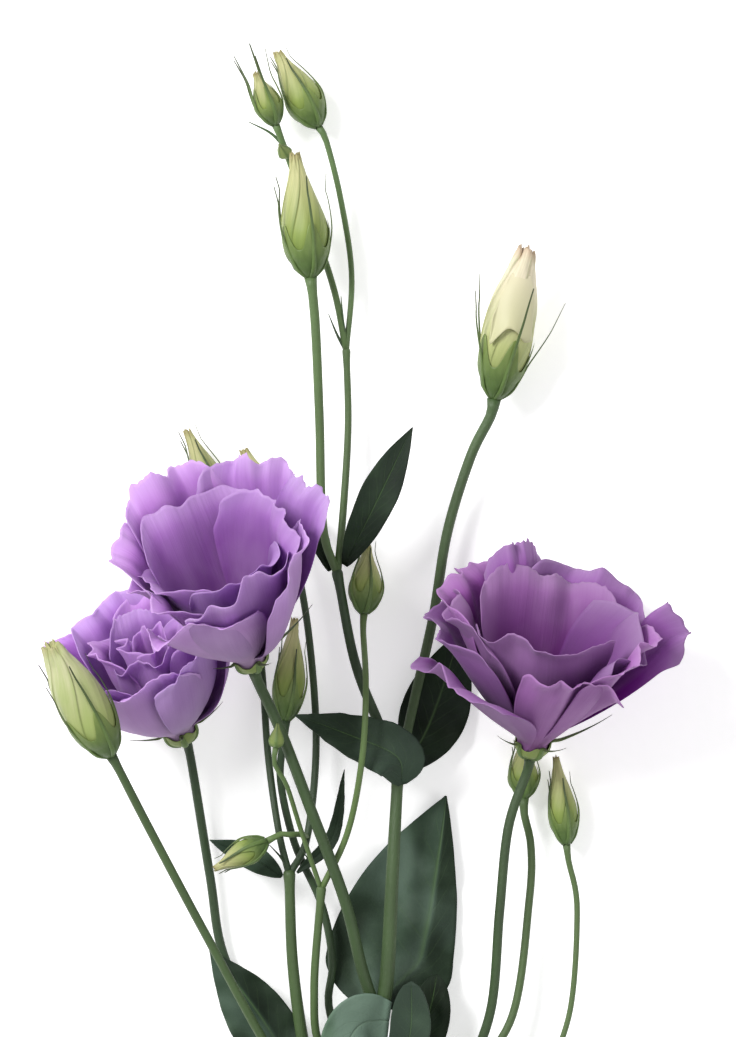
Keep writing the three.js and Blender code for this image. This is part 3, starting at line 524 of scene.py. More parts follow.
def grid_faces(rows, columns, closed=False):
    """Quads between (rows + 1) lines of points; closed joins each line's end to its start."""
    wide = columns if closed else columns + 1
    faces = []
    for j in range(rows):
        for i in range(columns):
            a = j * wide + i
            b = j * wide + (i + 1) % wide
            faces.append([a, b, b + wide, a + wide])
    return faces


def add_sheet(skin, middle, thickness, **values):
    """A thin closed sheet round a grid of points. Its first face has outer = 1."""
    rows, columns = middle.shape[0] - 1, middle.shape[1] - 1
    wide = columns + 1
    total = (rows + 1) * wide
    normal = np.cross(np.gradient(middle, axis=1), np.gradient(middle, axis=0))
    normal /= np.linalg.norm(normal, axis=2, keepdims=True) + 1e-9
    half = np.broadcast_to(thickness, middle.shape[:2])[..., None] / 2
    faces = grid_faces(rows, columns)
    faces += [[index + total for index in reversed(face)] for face in faces]
    edge = (list(range(columns)) + [j * wide + columns for j in range(rows)]
            + [rows * wide + i for i in range(columns, 0, -1)]
            + [j * wide for j in range(rows, 0, -1)])
    for a, b in zip(edge, edge[1:] + edge[:1]):
        faces.append([a, a + total, b + total, b])
    both = {key: np.tile(np.broadcast_to(value, middle.shape[:2]).ravel(), 2)
            for key, value in values.items()}
    sides = np.concatenate([middle + normal * half, middle - normal * half]).reshape(-1, 3)
    skin.add(sides, faces, outer=np.repeat([1.0, 0.0], total), **both)


def add_rings(skin, rings, **values):
    """A solid skinned over rings of points, closed by a fan at each end."""
    rows, count = rings.shape[0] - 1, rings.shape[1]
    faces = grid_faces(rows, count, closed=True)
    points = np.concatenate([rings.reshape(-1, 3), rings[0].mean(0)[None], rings[-1].mean(0)[None]])
    foot = (rows + 1) * count
    tip = foot + 1
    for side in range(count):
        following = (side + 1) % count
        faces.append([following, side, foot])
        faces.append([rows * count + side, rows * count + following, tip])
    spread = {}
    for key, value in values.items():
        filled = np.broadcast_to(value, rings.shape[:2])
        spread[key] = np.concatenate([filled.ravel(), [filled[0].mean(), filled[-1].mean()]])
    skin.add(points, faces, **spread)


# ---------------------------------------------------------------- materials

def shade(value):
    """A colour from six hexadecimal digits, or a grey from one number, as the shaders want it."""
    if not isinstance(value, str):
        return (value, value, value, 1.0)
    levels = [int(value[k:k + 2], 16) / 255 for k in (0, 2, 4)]
    return (*[s / 12.92 if s <= 0.04045 else ((s + 0.055) / 1.055) ** 2.4 for s in levels], 1.0)


class Material:
    """A node material, built one node at a time. An input is a number, another node's output, or
    a colour's six digits."""

    def __init__(self, name):
        self.material = bpy.data.materials.new(name)
        self.material.use_nodes = True
        self.tree = self.material.node_tree
        self.tree.nodes.clear()

    def node(self, kind, inputs=(), output=0, **settings):
        made = self.tree.nodes.new("ShaderNode" + kind)
        for key, value in settings.items():
            setattr(made, key, value)
        for key, value in dict(inputs).items():
            if isinstance(value, bpy.types.NodeSocket):
                self.tree.links.new(value, made.inputs[key])
            else:
                made.inputs[key].default_value = shade(value) if isinstance(value, str) else value
        return made.outputs[output]

    def value(self, name):
        return self.node("Attribute", attribute_name=name, output="Fac")

    def place(self):
        return self.node("NewGeometry", output="Position")

    def math(self, operation, a, b=0.0, clamp=False):
        return self.node("Math", {0: a, 1: b}, operation=operation, use_clamp=clamp)

    def times(self, first, *others, clamp=False):
        for other in others:
            first = self.math("MULTIPLY", first, other, clamp)
        return first

    def plus(self, a, b):
        return self.math("ADD", a, b)

    def minus(self, a, b, clamp=False):
        return self.math("SUBTRACT", a, b, clamp)

    def size_of(self, a):
        return self.math("ABSOLUTE", a)

    def ramp(self, factor, *stops):
        made = self.tree.nodes.new("ShaderNodeValToRGB")
        elements = made.color_ramp.elements
        for k, (position, colour) in enumerate(stops):
            element = elements[k] if k < 2 else elements.new(position)
            element.position = position
            element.color = shade(colour)
        self.tree.links.new(factor, made.inputs["Fac"])
        return made.outputs["Color"]

    def blend(self, factor, a, b):
        return self.node("MixRGB", {"Fac": factor, "Color1": a, "Color2": b})

    def grain(self, place, scale, detail=2.0, roughness=0.5):
        return self.node("TexNoise", {"Vector": place, "Scale": scale, "Detail": detail,
                                      "Roughness": roughness}, output="Fac")

    def noise(self, *stretched, detail=2.0, roughness=0.5):
        """Noise over two or three values, each given with how much it is stretched."""
        scaled = [self.times(value, stretch) for value, stretch in stretched]
        return self.grain(self.node("CombineXYZ", dict(zip("XYZ", scaled))), 1.0, detail, roughness)

    def bump(self, height, distance, strength):
        return self.node("Bump", {"Height": height, "Distance": distance, "Strength": strength},
                         output="Normal")

    def finish(self, shader):
        out = self.tree.nodes.new("ShaderNodeOutputMaterial")
        self.tree.links.new(shader, out.inputs["Surface"])
        return self.material

    def skin(self, colour, relief, roughness, specular, **more):
        return self.node("BsdfPrincipled", {"Base Color": colour, "Roughness": roughness,
                                            "Specular IOR Level": specular, "Normal": relief, **more})

    def tissue(self, skin, glow, relief, share):
        """Finish with plant tissue that lets a share of the light through, coloured by glow."""
        through = self.node("BsdfTranslucent", {"Color": glow, "Normal": relief})
        return self.finish(self.node("MixShader", {0: share, 1: skin, 2: through}))


def petal_material():
    """Dark in the cup and pale at the rim: the dark cup is painted shade over the petals' deeper
    colour there, and the pale rim is their own paler edge with painted light on the lit rims. Dusk
    makes a whole bloom darker and pinker and paints shade deep in its cup; a negative dusk is painted
    light that makes a bloom lighter.
    """
    m = Material("petal_silk")
    across, along = m.value("across"), m.value("along")
    outer, tone, heart, dusk = m.value("outer"), m.value("tone"), m.value("heart"), m.value("dusk")
    # painted shade deep in the cup, over the petals' deeper colour there, and painted light on the
    # lit rims at the pale end
    inside = m.ramp(along, (0.0, "431351"), (0.42, "662a7d"), (0.7, "9352b0"), (0.88, "b880d4"),
                    (1.0, "d6b0ec"))
    outside = m.ramp(along, (0.0, "ad93b4"), (0.3, "a985bd"), (0.75, "b489cc"), (1.0, "cba2e2"))
    colour = m.blend(outer, inside, outside)
    colour = m.blend(m.times(heart, 0.35), colour, "a05fc0")
    streaks = m.noise((across, 34.0), (along, 1.3), (tone, 31.0), detail=3.0, roughness=0.6)
    veins = m.ramp(streaks, (0.36, 0.0), (0.62, 1.0))
    colour = m.blend(m.times(m.minus(1.0, veins), 0.08), colour, "82449c")
    patches = m.noise((across, 2.2), (along, 2.5), (tone, 17.0))
    colour = m.blend(m.times(m.minus(patches, 0.38), 0.8, clamp=True), colour, "d9b4ea")
    rim = m.minus(m.times(along, 8.0), 7.0, clamp=True)
    colour = m.blend(m.times(rim, 0.08), colour, "e0c4f0")
    dark = m.math("MAXIMUM", dusk, 0.0)
    # painted shade deep in the cups of a bloom with dusk: darker and more saturated near the petals'
    # feet
    depth = m.times(m.minus(1.0, m.times(along, 1.4), clamp=True), dark)
    light = m.minus(m.plus(0.94, m.times(tone, 0.12)), m.times(dusk, 0.3))
    light = m.minus(light, m.times(depth, heart, 0.5))
    strength = m.plus(m.plus(0.94, m.times(dark, 0.17)), m.times(depth, 0.4))
    dull = m.times(m.size_of(dusk), heart, 0.16)
    hue = m.plus(0.5, m.times(m.plus(tone, dark), 0.018))
    shifted = m.node("HueSaturation", {"Hue": hue, "Saturation": m.minus(strength, dull),
                                       "Value": light, "Color": colour})
    fine = m.noise((across, 90.0), (along, 7.0), (tone, 9.0), roughness=0.6)
    relief = m.bump(m.plus(streaks, m.times(fine, 0.4)), 0.0003, 0.28)
    sheen = {"Sheen Weight": 0.12, "Sheen Roughness": 0.4}
    return m.tissue(m.skin(shifted, relief, 0.6, 0.35, **sheen), shifted, relief, 0.3)


def bud_material(name, foot, belly, tip, edge, pink):
    """Furled petals: green at the foot, pale higher up, dark at the edges, brownish at the tips."""
    m = Material(name)
    across, along, tone = m.value("across"), m.value("along"), m.value("tone")
    colour = m.ramp(along, (0.0, foot), (0.3, belly), (0.8, tip), (1.0, tip))
    streaks = m.noise((across, 16.0), (along, 2.0), (tone, 23.0), detail=3.0, roughness=0.6)
    veins = m.ramp(streaks, (0.4, 1.0), (0.6, 0.0))
    colour = m.blend(m.times(veins, 0.2), colour, edge)
    lip = m.minus(m.times(across, 9.0), 8.0, clamp=True)
    colour = m.blend(m.times(lip, 0.6), colour, edge)
    blush = m.minus(m.times(along, 9.0), 8.2, clamp=True)
    colour = m.blend(m.times(blush, 0.75), colour, pink)
    mottle = m.noise((across, 3.0), (along, 5.0), (tone, 1.0))
    fresh = m.times(m.value("fresh"), m.plus(0.25, m.times(mottle, 0.9)))
    colour = m.blend(fresh, colour, "9fb563")
    relief = m.bump(streaks, 0.0003, 0.4)
    return m.tissue(m.skin(colour, relief, 0.5, 0.4, **{"Sheen Weight": 0.1}), colour, relief, 0.12)


def calyx_material():
    """Pale skin between green ribs, whose free tips are nearly black."""
    m = Material("calyx_green")
    across, along, keel = m.value("across"), m.value("along"), m.value("keel")
    between = m.ramp(along, (0.0, "3f5f2c"), (0.2, "86994f"), (0.5, "7f8f4f"))
    ribs = m.ramp(along, (0.0, "3c5b2b"), (0.12, "567439"), (0.35, "627c42"), (0.65, "42582f"),
                  (1.0, "2a3322"))
    colour = m.blend(keel, between, ribs)
    mottle = m.noise((across, 3.0), (along, 26.0), (keel, 1.0))
    colour = m.blend(m.times(mottle, 0.22), colour, "a9bd74")
    relief = m.bump(mottle, 0.0003, 0.5)
    return m.tissue(m.skin(colour, relief, 0.45, 0.45), colour, relief, 0.15)


def stem_material():
    """Green stems with fine lines along them: darker lower down, partly their own darker green and
    partly painted shade where the trunk lies under the leaves and the front bloom; paler where they
    are young.
    """
    m = Material("stem_skin")
    place = m.place()
    patches, specks = m.grain(place, 55.0, 3.0), m.grain(place, 900.0)
    colour = m.ramp(patches, (0.3, "263b20"), (0.5, "35502b"), (0.72, "4b683d"))
    lines = m.noise((m.value("across"), 22.0), (m.value("along"), 0.6))
    colour = m.blend(m.times(lines, 0.3), colour, "587547")
    colour = m.blend(m.times(specks, 0.15), colour, "8fa67c")
    height = m.node("SeparateXYZ", {"Vector": place}, output="Y")
    # painted shade with the stems' own darker green: darker lower down, most where the trunk lies
    # under the leaves and the front bloom
    low = m.ramp(m.times(m.plus(height, 0.17), 3.0), (0.1, 0.7), (0.65, 0.6), (0.9, 0.1))
    colour = m.blend(low, colour, "1b2e19")
    colour = m.blend(m.times(m.value("young"), 0.5), colour, "86a45c")
    relief = m.bump(m.plus(lines, m.times(specks, 0.4)), 0.0003, 0.5)
    return m.finish(m.skin(colour, relief, 0.48, 0.45))


def leaf_material():
    """Dark or bluish blades with a pale midrib, faint side veins and a patchy pale coat, partly waxy
    bloom and partly painted gloss.
    """
    m = Material("leaf_blade")
    across, along, bluish = m.value("across"), m.value("along"), m.value("bluish")
    place = m.place()
    patches = m.grain(place, 70.0, 4.0)
    dark = m.ramp(patches, (0.3, "0a1208"), (0.55, "121f0e"), (0.8, "22361b"))
    pale = m.ramp(patches, (0.3, "4a6350"), (0.55, "637d67"), (0.8, "8a9f8f"))
    colour = m.blend(bluish, dark, pale)
    side = m.size_of(across)
    wobble = m.noise((across, 2.0), (along, 4.0), (bluish, 1.0))
    path = m.minus(m.times(along, SIDE_VEINS), m.times(side, VEIN_SWEEP))
    path = m.plus(path, m.times(wobble, 0.7))
    nearest = m.size_of(m.minus(m.math("FRACT", path), 0.5))
    branches = m.minus(1.0, m.times(nearest, 12.0), clamp=True)
    fading = m.minus(1.0, m.times(side, 1.1), clamp=True)
    midrib = m.minus(1.0, m.times(side, 16.0), clamp=True)
    veins = m.math("MAXIMUM", midrib, m.times(branches, fading, 0.3))
    colour = m.blend(m.times(veins, 0.45), colour, "5f7c4c")
    # painted gloss together with the waxy bloom: pale bluish patches, strongest on bluish leaves
    wax_and_gloss = m.ramp(m.grain(place, 30.0, 3.0), (0.48, 0.0), (0.58, 1.0))
    coat = m.plus(0.06, m.times(bluish, 0.6))
    colour = m.blend(m.times(wax_and_gloss, coat), colour, "748a7c")
    relief = m.bump(m.minus(m.times(m.grain(place, 1500.0), 0.3), veins), 0.0004, 0.6)
    return m.tissue(m.skin(colour, relief, 0.58, 0.14), "3f6a28", relief, 0.08)


def plain_material(name, low, high, scale):
    """Mottled between two colours, for the pistil and the stamens."""
    m = Material(name)
    grains = m.grain(m.place(), scale, 3.0)
    colour = m.ramp(grains, (0.35, low), (0.65, high))
    return m.finish(m.skin(colour, m.bump(grains, 0.0002, 0.6), 0.55, 0.5))


# ---------------------------------------------------------------- stem

def tube(skin, curve, radius_at, sides=STEM_SIDES, step=STEM_STEP, ridge=0.0, domed=False, **values):
    """A round rod along a curve, with four faint ridges and perhaps a domed end."""
    length = curve[1][-1]
    steps = max(4, round(length / step))
    shares = np.linspace(0, 1, steps + 1)
    centres, directions = along_route(curve, shares)
    angle = around(sides, 0.5)
    side = unit(np.array([directions[0][1], -directions[0][0], 1e-6]))
    rings = []
    for centre, direction, share in zip(centres, directions, shares):
        side = unit(side - side.dot(direction) * direction)
        up = np.cross(direction, side)
        radius = radius_at(share) * (1 + ridge * np.cos(4 * angle))
        rings.append(centre + side * (radius * np.cos(angle))[:, None]
                     + up * (radius * np.sin(angle))[:, None])
    if domed:
        for rise in DOME:
            shrunk = (rings[steps] - centre) * math.sqrt(1 - rise * rise)
            rings.append(centre + shrunk + direction * rise * radius.mean())
        shares = np.append(shares, [1] * len(DOME))
    add_rings(skin, np.array(rings), along=shares[:, None] * length,
              across=np.abs(angle / math.pi - 1)[None, :], **values)


def carried_places():
    """What the branches carry, by name: its foot and the direction that it faces."""
    carried = {}
    for name, bud in {**BUDS, **CLOSED_BUDS}.items():
        carried[name] = (bud["foot"], np.subtract(bud["tip"], bud["foot"]))
    for bloom in BLOOMS.values():
        carried[bloom["branch"]] = (bloom["foot"], bloom["facing"])
    return carried


def branch_radius(branch, length):
    """The radius at a share of a branch's length; it swells where it forks or carries something."""
    swell = RECEPTACLE_SWELL if "carries" in branch else NODE_SWELL

    def radius_at(share):
        left = (1 - share) * length
        thick = 1 + (swell - 1) * (1 - smooth(left / SWELL_LENGTH))
        return mix(*branch["radii"], share) * thick
    return radius_at


def fork_places(points):
    """The points, with each fork's name replaced by its place."""
    return [FORK[point] if isinstance(point, str) else point for point in points]


def build_stem(material):
    skin = Skin("along", "across", "young")
    carried = carried_places()
    for branch in BRANCHES:
        points = fork_places(branch["through"])
        if "carries" in branch:
            place = axes(*carried[branch["carries"]])
            points += [place["foot"] - NECK * place["axis"], place["foot"]]
        curve = route(points)
        tube(skin, curve, branch_radius(branch, curve[1][-1]), ridge=RIDGE,
             domed="carries" not in branch, young=branch.get("young", 0))
    for points in BRACTS:
        tube(skin, route(fork_places(points)), lambda share: mix(*BRACT, share), 8, 1.0)
    skin.make("stem_skin", material, "stem")


# ---------------------------------------------------------------- leaves

def leaf_outline(along, leaf):
    """The blade's half width along it, as a share of the greatest."""
    widest, base = leaf["widest"], leaf.get("base", LEAF_BASE)
    t = np.where(along < widest, 0.5 * along / widest, 0.5 + 0.5 * (along - widest) / (1 - widest))
    belly = np.sin(math.pi * t) ** np.where(along < widest, 0.8, leaf.get("blunt", LEAF_BLUNT))
    return np.where(along < widest, base + (1 - base) * belly, np.maximum(LEAF_POINT, belly))


def leaf_relief(leaf, u, v, side, rough):
    """Height of the blade's ripples, midrib, veins and raised rib over its fold."""
    half = leaf["half"]
    belly = np.sin(math.pi * v)
    ripple = leaf["wave"] * np.sin(RIPPLES * math.pi * v + u) * np.abs(u) ** 2
    ripple = ripple + 0.035 * half * rough * np.abs(u)
    frill = leaf.get("frill", 0) * np.sin(FRILLS * math.pi * v + 2 * u) * np.abs(u) ** 3
    groove = GROOVE * np.exp(-(side / 0.07) ** 2) * (1 - v)
    vein = np.cos(math.tau * (SIDE_VEINS * v - VEIN_SWEEP * np.abs(side)))
    quilt = QUILT * vein * np.abs(side) * (1 - np.abs(side)) * 4
    rib = CREASE_HEIGHT * half * leaf.get("crease", 0) * (1 - np.abs(side)) ** 1.3
    return (ripple + frill + quilt + rib) * belly - groove


def build_leaf(name, leaf, material, rng):
    midrib = route(leaf["midrib"])
    rows = int(max(20, round(midrib[1][-1] / LEAF_ROW)))
    along = np.linspace(0, 1, rows + 1)
    spine, forward = along_route(midrib, along)
    right = np.cross(forward, [0, 0, 1])
    right /= np.linalg.norm(right, axis=1, keepdims=True)
    roll = math.radians(leaf["roll"])
    right = right * math.cos(roll) + np.cross(forward, right) * math.sin(roll)
    up = np.cross(right, forward)
    u, v = np.meshgrid(np.linspace(-1, 1, LEAF_COLUMNS + 1), along)
    rough = waves(rng, 6, 4.0, 9.0)(u, v)
    reach = leaf["half"] * leaf_outline(v, leaf) * u * (1 + 0.012 * rough)
    crease = leaf.get("crease", 0)
    rib = crease * smooth(v / 0.28)
    side = (u - rib) / np.where(u < rib, 1 + rib, 1 - rib)
    height = np.abs(reach) * leaf["fold"] + leaf_relief(leaf, u, v, side, rough)
    middle = spine[:, None] + right[:, None] * reach[..., None] + up[:, None] * height[..., None]
    thickness = LEAF_THICKNESS * (1 + 0.9 * np.exp(-(side / 0.09) ** 2) * (1 - v))
    # painted shade: on a creased leaf, the part right of the raised rib and a strip along the left
    # edge near the foot lose their bluish pale and turn dark
    dark = smooth(side / 0.12) + smooth((-0.4 - u) / 0.3) * (1 - smooth((v - 0.35) / 0.2))
    skin = Skin("along", "across", "bluish")
    add_sheet(skin, middle, thickness, along=v, across=side,
              bluish=leaf.get("bluish", 0) * (1 - 0.7 * dark * (crease > 0)))
    skin.make("blade_" + name, material, "leaf_" + name)


# ---------------------------------------------------------------- buds

def bud_frame(bud):
    span = np.subtract(bud["tip"], bud["foot"])
    length = float(np.linalg.norm(span))
    return {**axes(bud["foot"], span), "length": length, "seat": SEAT_GAP + CUP_SHARE * length}


def bud_profile(bud, place):
    """Height over the foot and radius, as functions of the share of the corolla's length."""
    outline = flat_route(FULL if bud.get("full") else SLIM)[0]
    start = place["seat"] + SEAT_GAP

    def at(share):
        height = start + (place["length"] - start) * share
        return height, bud["radius"] * np.interp(share, outline[:, 0], outline[:, 1])
    return at


def add_flap(skin, place, profile):
    """The outermost petal's free edge, that hooks outwards low on the bud's near side."""
    edge = flat_route(FLAP_EDGE, 8)[0][None]
    angle, low = edge[..., 0], edge[..., 1]
    down = np.linspace(0, 1, FLAP_ROWS + 1)[:, None]
    share = mix(FLAP_TOP, low, down)
    height, wide = profile(share)
    seam = np.minimum(1, np.minimum(angle + 1.0, 0.75) * 6)
    lift = 0.35 * smooth(down * 4) * seam + 1.1 * down ** 5 * seam
    wide = wide * 1.045 - 0.5 * (1 - smooth(down * 5)) - 0.5 * (1 - seam) + lift
    add_sheet(skin, spin(place, -angle, wide, height), FLAP_THICKNESS,
              along=0.45 + 0.35 * share, across=0.3, tone=0.5)


def build_corolla(name, bud, material, rng):
    """Five petals furled round each other: each one's edge stands over the next in a spiral."""
    place = bud_frame(bud)
    profile = bud_profile(bud, place)
    share = np.linspace(0, 1, BUD_ROWS + 1)[:, None]
    phase = np.concatenate([np.linspace(0, 0.93, FURL_COLUMNS - 2), [0.97, 0.995]])
    turn = np.concatenate([(k + phase) / FURLS for k in range(FURLS)])[None, :]
    phase = np.tile(phase, FURLS)[None, :]
    petal_number = np.repeat(np.arange(FURLS), FURL_COLUMNS)[None, :]
    lift = rng.uniform(0.3, 1.0, FURLS)[petal_number]
    height, radius = profile(share)
    angle = math.tau * turn + FURL_TWIST * share ** 1.3 + 0.25 * bud["radius"]
    free = smooth((share - 0.72) / 0.28)
    step = FURL_STEP * (0.4 + 0.9 * smooth(share / 0.4)) * (1 + 1.6 * free * lift)
    relief = waves(rng, 7, 1.0, 1.0)
    crinkle = relief(8 * angle, 16 * share) * 0.13 * free
    dents = 0.02 * waves(rng, 6, 2.5, 5.0)(angle, share) * smooth(share / 0.2)
    radius = radius * (1 + step * (phase - 0.55) + dents + crinkle)
    drop = free ** 3 * (0.03 * lift * np.sin(math.pi * phase) - 0.02)
    height = height + place["length"] * (drop + 0.014 * free * relief(11 * angle, 3 * share))
    rings = spin(place, angle, radius, height)
    hollow = rings[-1] - place["axis"] * 0.05 * place["length"]
    inner = hollow.mean(0) + (hollow - hollow.mean(0)) * 0.45
    skin = Skin("along", "across", "tone", "fresh")
    add_rings(skin, np.concatenate([rings, inner[None]]), along=np.append(share, 0.99)[:, None],
              across=phase, tone=petal_number * 0.21, fresh=bud.get("fresh", FRESH))
    if name == "cream":
        add_flap(skin, place, profile)
    skin.make("furl_" + name, material, "bud_" + name + "_corolla")


def add_keel(skin, place, turn, points, halves, crest):
    """A narrow green rib along [height, distance] points, that ends in a free awl-like tip."""
    t = np.linspace(0, 1, KEEL_ROWS + 1)
    centre, direction = along_route(flat_route(points, 12), t)
    half = np.interp(t, np.linspace(0, 1, len(halves)), halves)[:, None]
    out = turned(place, turn)
    aside = np.cross(place["axis"], out)
    middle = place["foot"] + out * centre[:, 1:2] + place["axis"] * centre[:, :1]
    lifted = out * direction[:, :1] - place["axis"] * direction[:, 1:2]
    rings = []
    for angle in around(KEEL_SIDES):
        wide, high = math.cos(angle), math.sin(angle)
        rise = crest * high * (half / halves[0]) if high > 0 else 0.35 * high * half
        rings.append(middle + aside * half * wide + lifted * rise)
    add_rings(skin, np.stack(rings, axis=1), along=t[:, None],
              across=np.cos(around(KEEL_SIDES))[None, :], keel=1.0)


def add_membrane(skin, place, profile, low, high):
    """The thin pale skin that joins the keels into a cup, its rim cut low between them.

    profile gives (height, radius) for a share of the cup; low and high are the shares of it
    that the rim reaches between two keels and at a keel."""
    t = np.linspace(0, 1, CALYX_ROWS + 1)[:, None]
    angle = around(CALYX_COLUMNS)[None, :]
    near = np.abs(np.cos(SEPALS / 2 * (angle - math.tau * CALYX_TURN / SEPALS)))
    top = mix(low, high, near ** 3)
    height, radius = profile(t * top)
    outside = spin(place, angle, radius + MEMBRANE, height)
    inside = spin(place, angle, radius, height)[::-1]
    steps = np.concatenate([t, t[::-1]])
    add_rings(skin, np.concatenate([outside, inside]), along=0.5 * steps * top, across=near,
              keel=0.0)


def build_calyx(name, bud, material):
    place = bud_frame(bud)
    length, stand, reach = place["length"], bud["stand"], bud["reach"]
    profile = bud_profile(bud, place)
    skin = Skin("along", "across", "keel")

    def hug(share):
        height, wide = profile(share)
        return (mix(-SINK, height, smooth(share / CUP_RISE)),
                mix(CUP_FOOT, 1.02 * wide + 0.22, smooth(share / CUP_SWELL)))

    for k, turn in enumerate(around(SEPALS, CALYX_TURN)):
        end = reach * (1 + 0.07 * math.sin(2.4 * k + bud["radius"]))
        points = [[-SINK, 1.1]]
        for share in np.linspace(0.03, 0.98, 18):
            height, wide = hug(share)
            part = height / length
            if part > end - 0.1:
                break
            points.append([height, wide + 0.12 + stand * smooth((part - 0.2) / (end - 0.2))])
        points.append([end * length, max(0.6, points[-1][1] + 0.25 * stand)])
        add_keel(skin, place, turn, points, BUD_KEEL, 0.4)
    add_membrane(skin, place, hug, 0.2 * reach, 0.5 * reach)
    skin.make("calyx_" + name, material, "bud_" + name + "_calyx")


def build_closed_bud(name, bud, material):
    """A small bud still wrapped in its five keeled sepals."""
    place = bud_frame(bud)
    t = np.linspace(0, 1, CLOSED_ROWS + 1)[:, None]
    angle = around(CLOSED_SIDES)[None, :]
    outline = flat_route(SLIM)[0]
    rib = np.abs(np.cos(SEPALS / 2 * angle))
    radius = bud["radius"] * np.interp(t, outline[:, 0], outline[:, 1])
    radius = radius * (1 + (0.12 * rib ** 3 - 0.03))
    skin = Skin("along", "across", "keel")
    add_rings(skin, spin(place, angle, radius, mix(-SINK, place["length"], t)), along=t * 0.8,
              across=1 - rib, keel=rib ** 4)
    skin.make("closed_" + name, material, "bud_" + name)


# ---------------------------------------------------------------- blooms

def petal_profile(shape, claw):
    """How a petal leans out along its length: distance from the axis, height and lean."""
    distance, height = claw, 0.0
    step = shape["long"] / PROFILE_STEPS
    rows = []
    for along in np.linspace(0, 1, PROFILE_STEPS + 1):
        rim = max(0, (along - 0.7) / 0.3)
        lean = mix(*shape["spread"], smooth(along)) * smooth(along / TUBE)
        lean = math.radians(lean + 3 * shape["curl"] * rim * rim)
        rows.append((distance, height, lean))
        distance += math.sin(lean) * step
        height += math.cos(lean) * step
    return np.array(rows)


def petal_surface(place, shape, claw, rng):
    """The middle of a petal's sheet: a grid of points, with across and along at each."""
    u, v = np.meshgrid(np.linspace(-1, 1, PETAL_COLUMNS + 1), np.linspace(0, 1, PETAL_ROWS + 1))

    def rough(count, across, along):
        return waves(rng, count, across, along)(u, v)

    notch = rough(5, 6.0, 0.0) * BROAD_NOTCH + rough(5, 26.0, 0.0) * FINE_NOTCH
    share = v * (1 - RIM_ROUND * np.abs(u) ** RIM_POWER - (notch + 0.02) * v ** 5)
    steps = np.linspace(0, 1, PROFILE_STEPS + 1)
    distance, height, lean = (np.interp(share, steps, row) for row in petal_profile(shape, claw).T)
    widening = np.sin(math.pi / 2 * np.minimum(1, share / BROADEST))
    reach = shape["half"] * (CLAW_WIDTH + (1 - CLAW_WIDTH) * widening)
    bend = np.minimum(HUG * np.cos(lean) / distance, FURTHEST_BEND / reach)
    side = np.sin(bend * reach * u) / bend
    cup = (1 - np.cos(bend * reach * u)) / bend
    depth, crests, phase = shape["wave"]
    ruffle = depth * np.sin(math.pi * crests * u + phase) * v ** 3
    frill = BROAD_FRILL * rough(6, 7.0, 1.5) * v ** 4 + FINE_FRILL * rough(6, 22.0, 3.0) * v ** 8
    pleats = PLEAT * rough(6, 4.0, 1.2) * smooth(v * 3)
    lip = LIP * (1.0 + 1.1 * rough(5, 5.0, 0.0)) * smooth((v - 0.8) / 0.2) ** 2
    edge = np.where(u < 0, *shape["roll"]) * smooth((np.abs(u) - 0.3) / 0.7) * v ** 2
    skew = SKEW * reach * u * smooth(v * 3)
    inward = cup + ruffle + frill + pleats - edge - lip + skew
    out = turned(place, math.radians(shape["turn"]))
    aside = turned(place, math.radians(shape["turn"] + 90))
    normal = np.sin(lean)[..., None] * place["axis"] - np.cos(lean)[..., None] * out
    points = (place["foot"] + place["axis"] * (CORE_START + height[..., None])
              + out * distance[..., None] + aside * side[..., None] + normal * inward[..., None])
    return points, u, v


def build_petals(name, bloom, place, material, rng):
    skin = Skin("across", "along", "outer", "tone", "heart", "dusk")
    for whorl in ("outer", "inner", "heart"):
        claw = OUTER_CLAW if whorl == "outer" else INNER_CLAW
        for shape in bloom.get(whorl, []):
            points, u, v = petal_surface(place, shape, claw, rng)
            add_sheet(skin, points, mix(*PETAL_THICKNESS, v), across=u, along=v,
                      tone=rng.uniform(0, 1), heart=float(whorl != "outer"), dusk=bloom["dusk"])
    t = np.linspace(0, 1, CORE_ROWS + 1)[:, None]
    radius = CORE_RADIUS * (0.8 + 0.2 * np.sin(t * math.pi))
    core = spin(place, around(CORE_SIDES)[None, :], radius, CORE_START + t * CORE_HEIGHT)
    add_rings(skin, core, outer=0.5, along=0.05)
    skin.make("petals_" + name, material, "bloom_" + name + "_petals")


def bulb(share):
    """Height and radius of the cup under a bloom, at a share of its height."""
    outline = flat_route(BULB, 12)[0]
    height = share * (BULB[-1][0] - BULB[0][0])
    return height - SINK, np.interp(height, outline[:, 0], outline[:, 1])


def build_bloom_calyx(name, bloom, place, material):
    skin = Skin("along", "across", "keel")
    rise, distance = SEPAL_FOOT
    for turn, long, lean in bloom["sepals"]:
        points = [[h - SINK, r + 0.1] for h, r in BULB]
        for share in (0.1, 0.3, 0.5, 0.75, 1):
            angle = math.radians(lean) * mix(1, 0.85, share)
            points.append([rise + share * (long - 3) * math.cos(angle),
                           distance + share * (long - 1) * math.sin(angle)])
        add_keel(skin, place, math.radians(turn), points, BLOOM_KEEL, 0.5)
    add_membrane(skin, place, bulb, 0.72, 1.0)
    skin.make("calyx_of_" + name, material, "bloom_" + name + "_calyx")


def build_pistil(name, place, material):
    """An ovary with its style, and a stigma of two lobes."""
    start = CORE_START + CORE_HEIGHT + SEAT_GAP
    skin = Skin()
    for aside, outline in ((0, OVARY), (-STIGMA_SPREAD, STIGMA), (STIGMA_SPREAD, STIGMA)):
        here = {**place, "foot": place["foot"] + aside * place["right"]}
        curve = flat_route(outline, 6)[0]
        angle = around(PISTIL_SIDES)[None, :]
        add_rings(skin, spin(here, angle, curve[:, 1:2], start + curve[:, :1]))
    skin.make("pistil_of_" + name, material, "bloom_" + name + "_pistil")


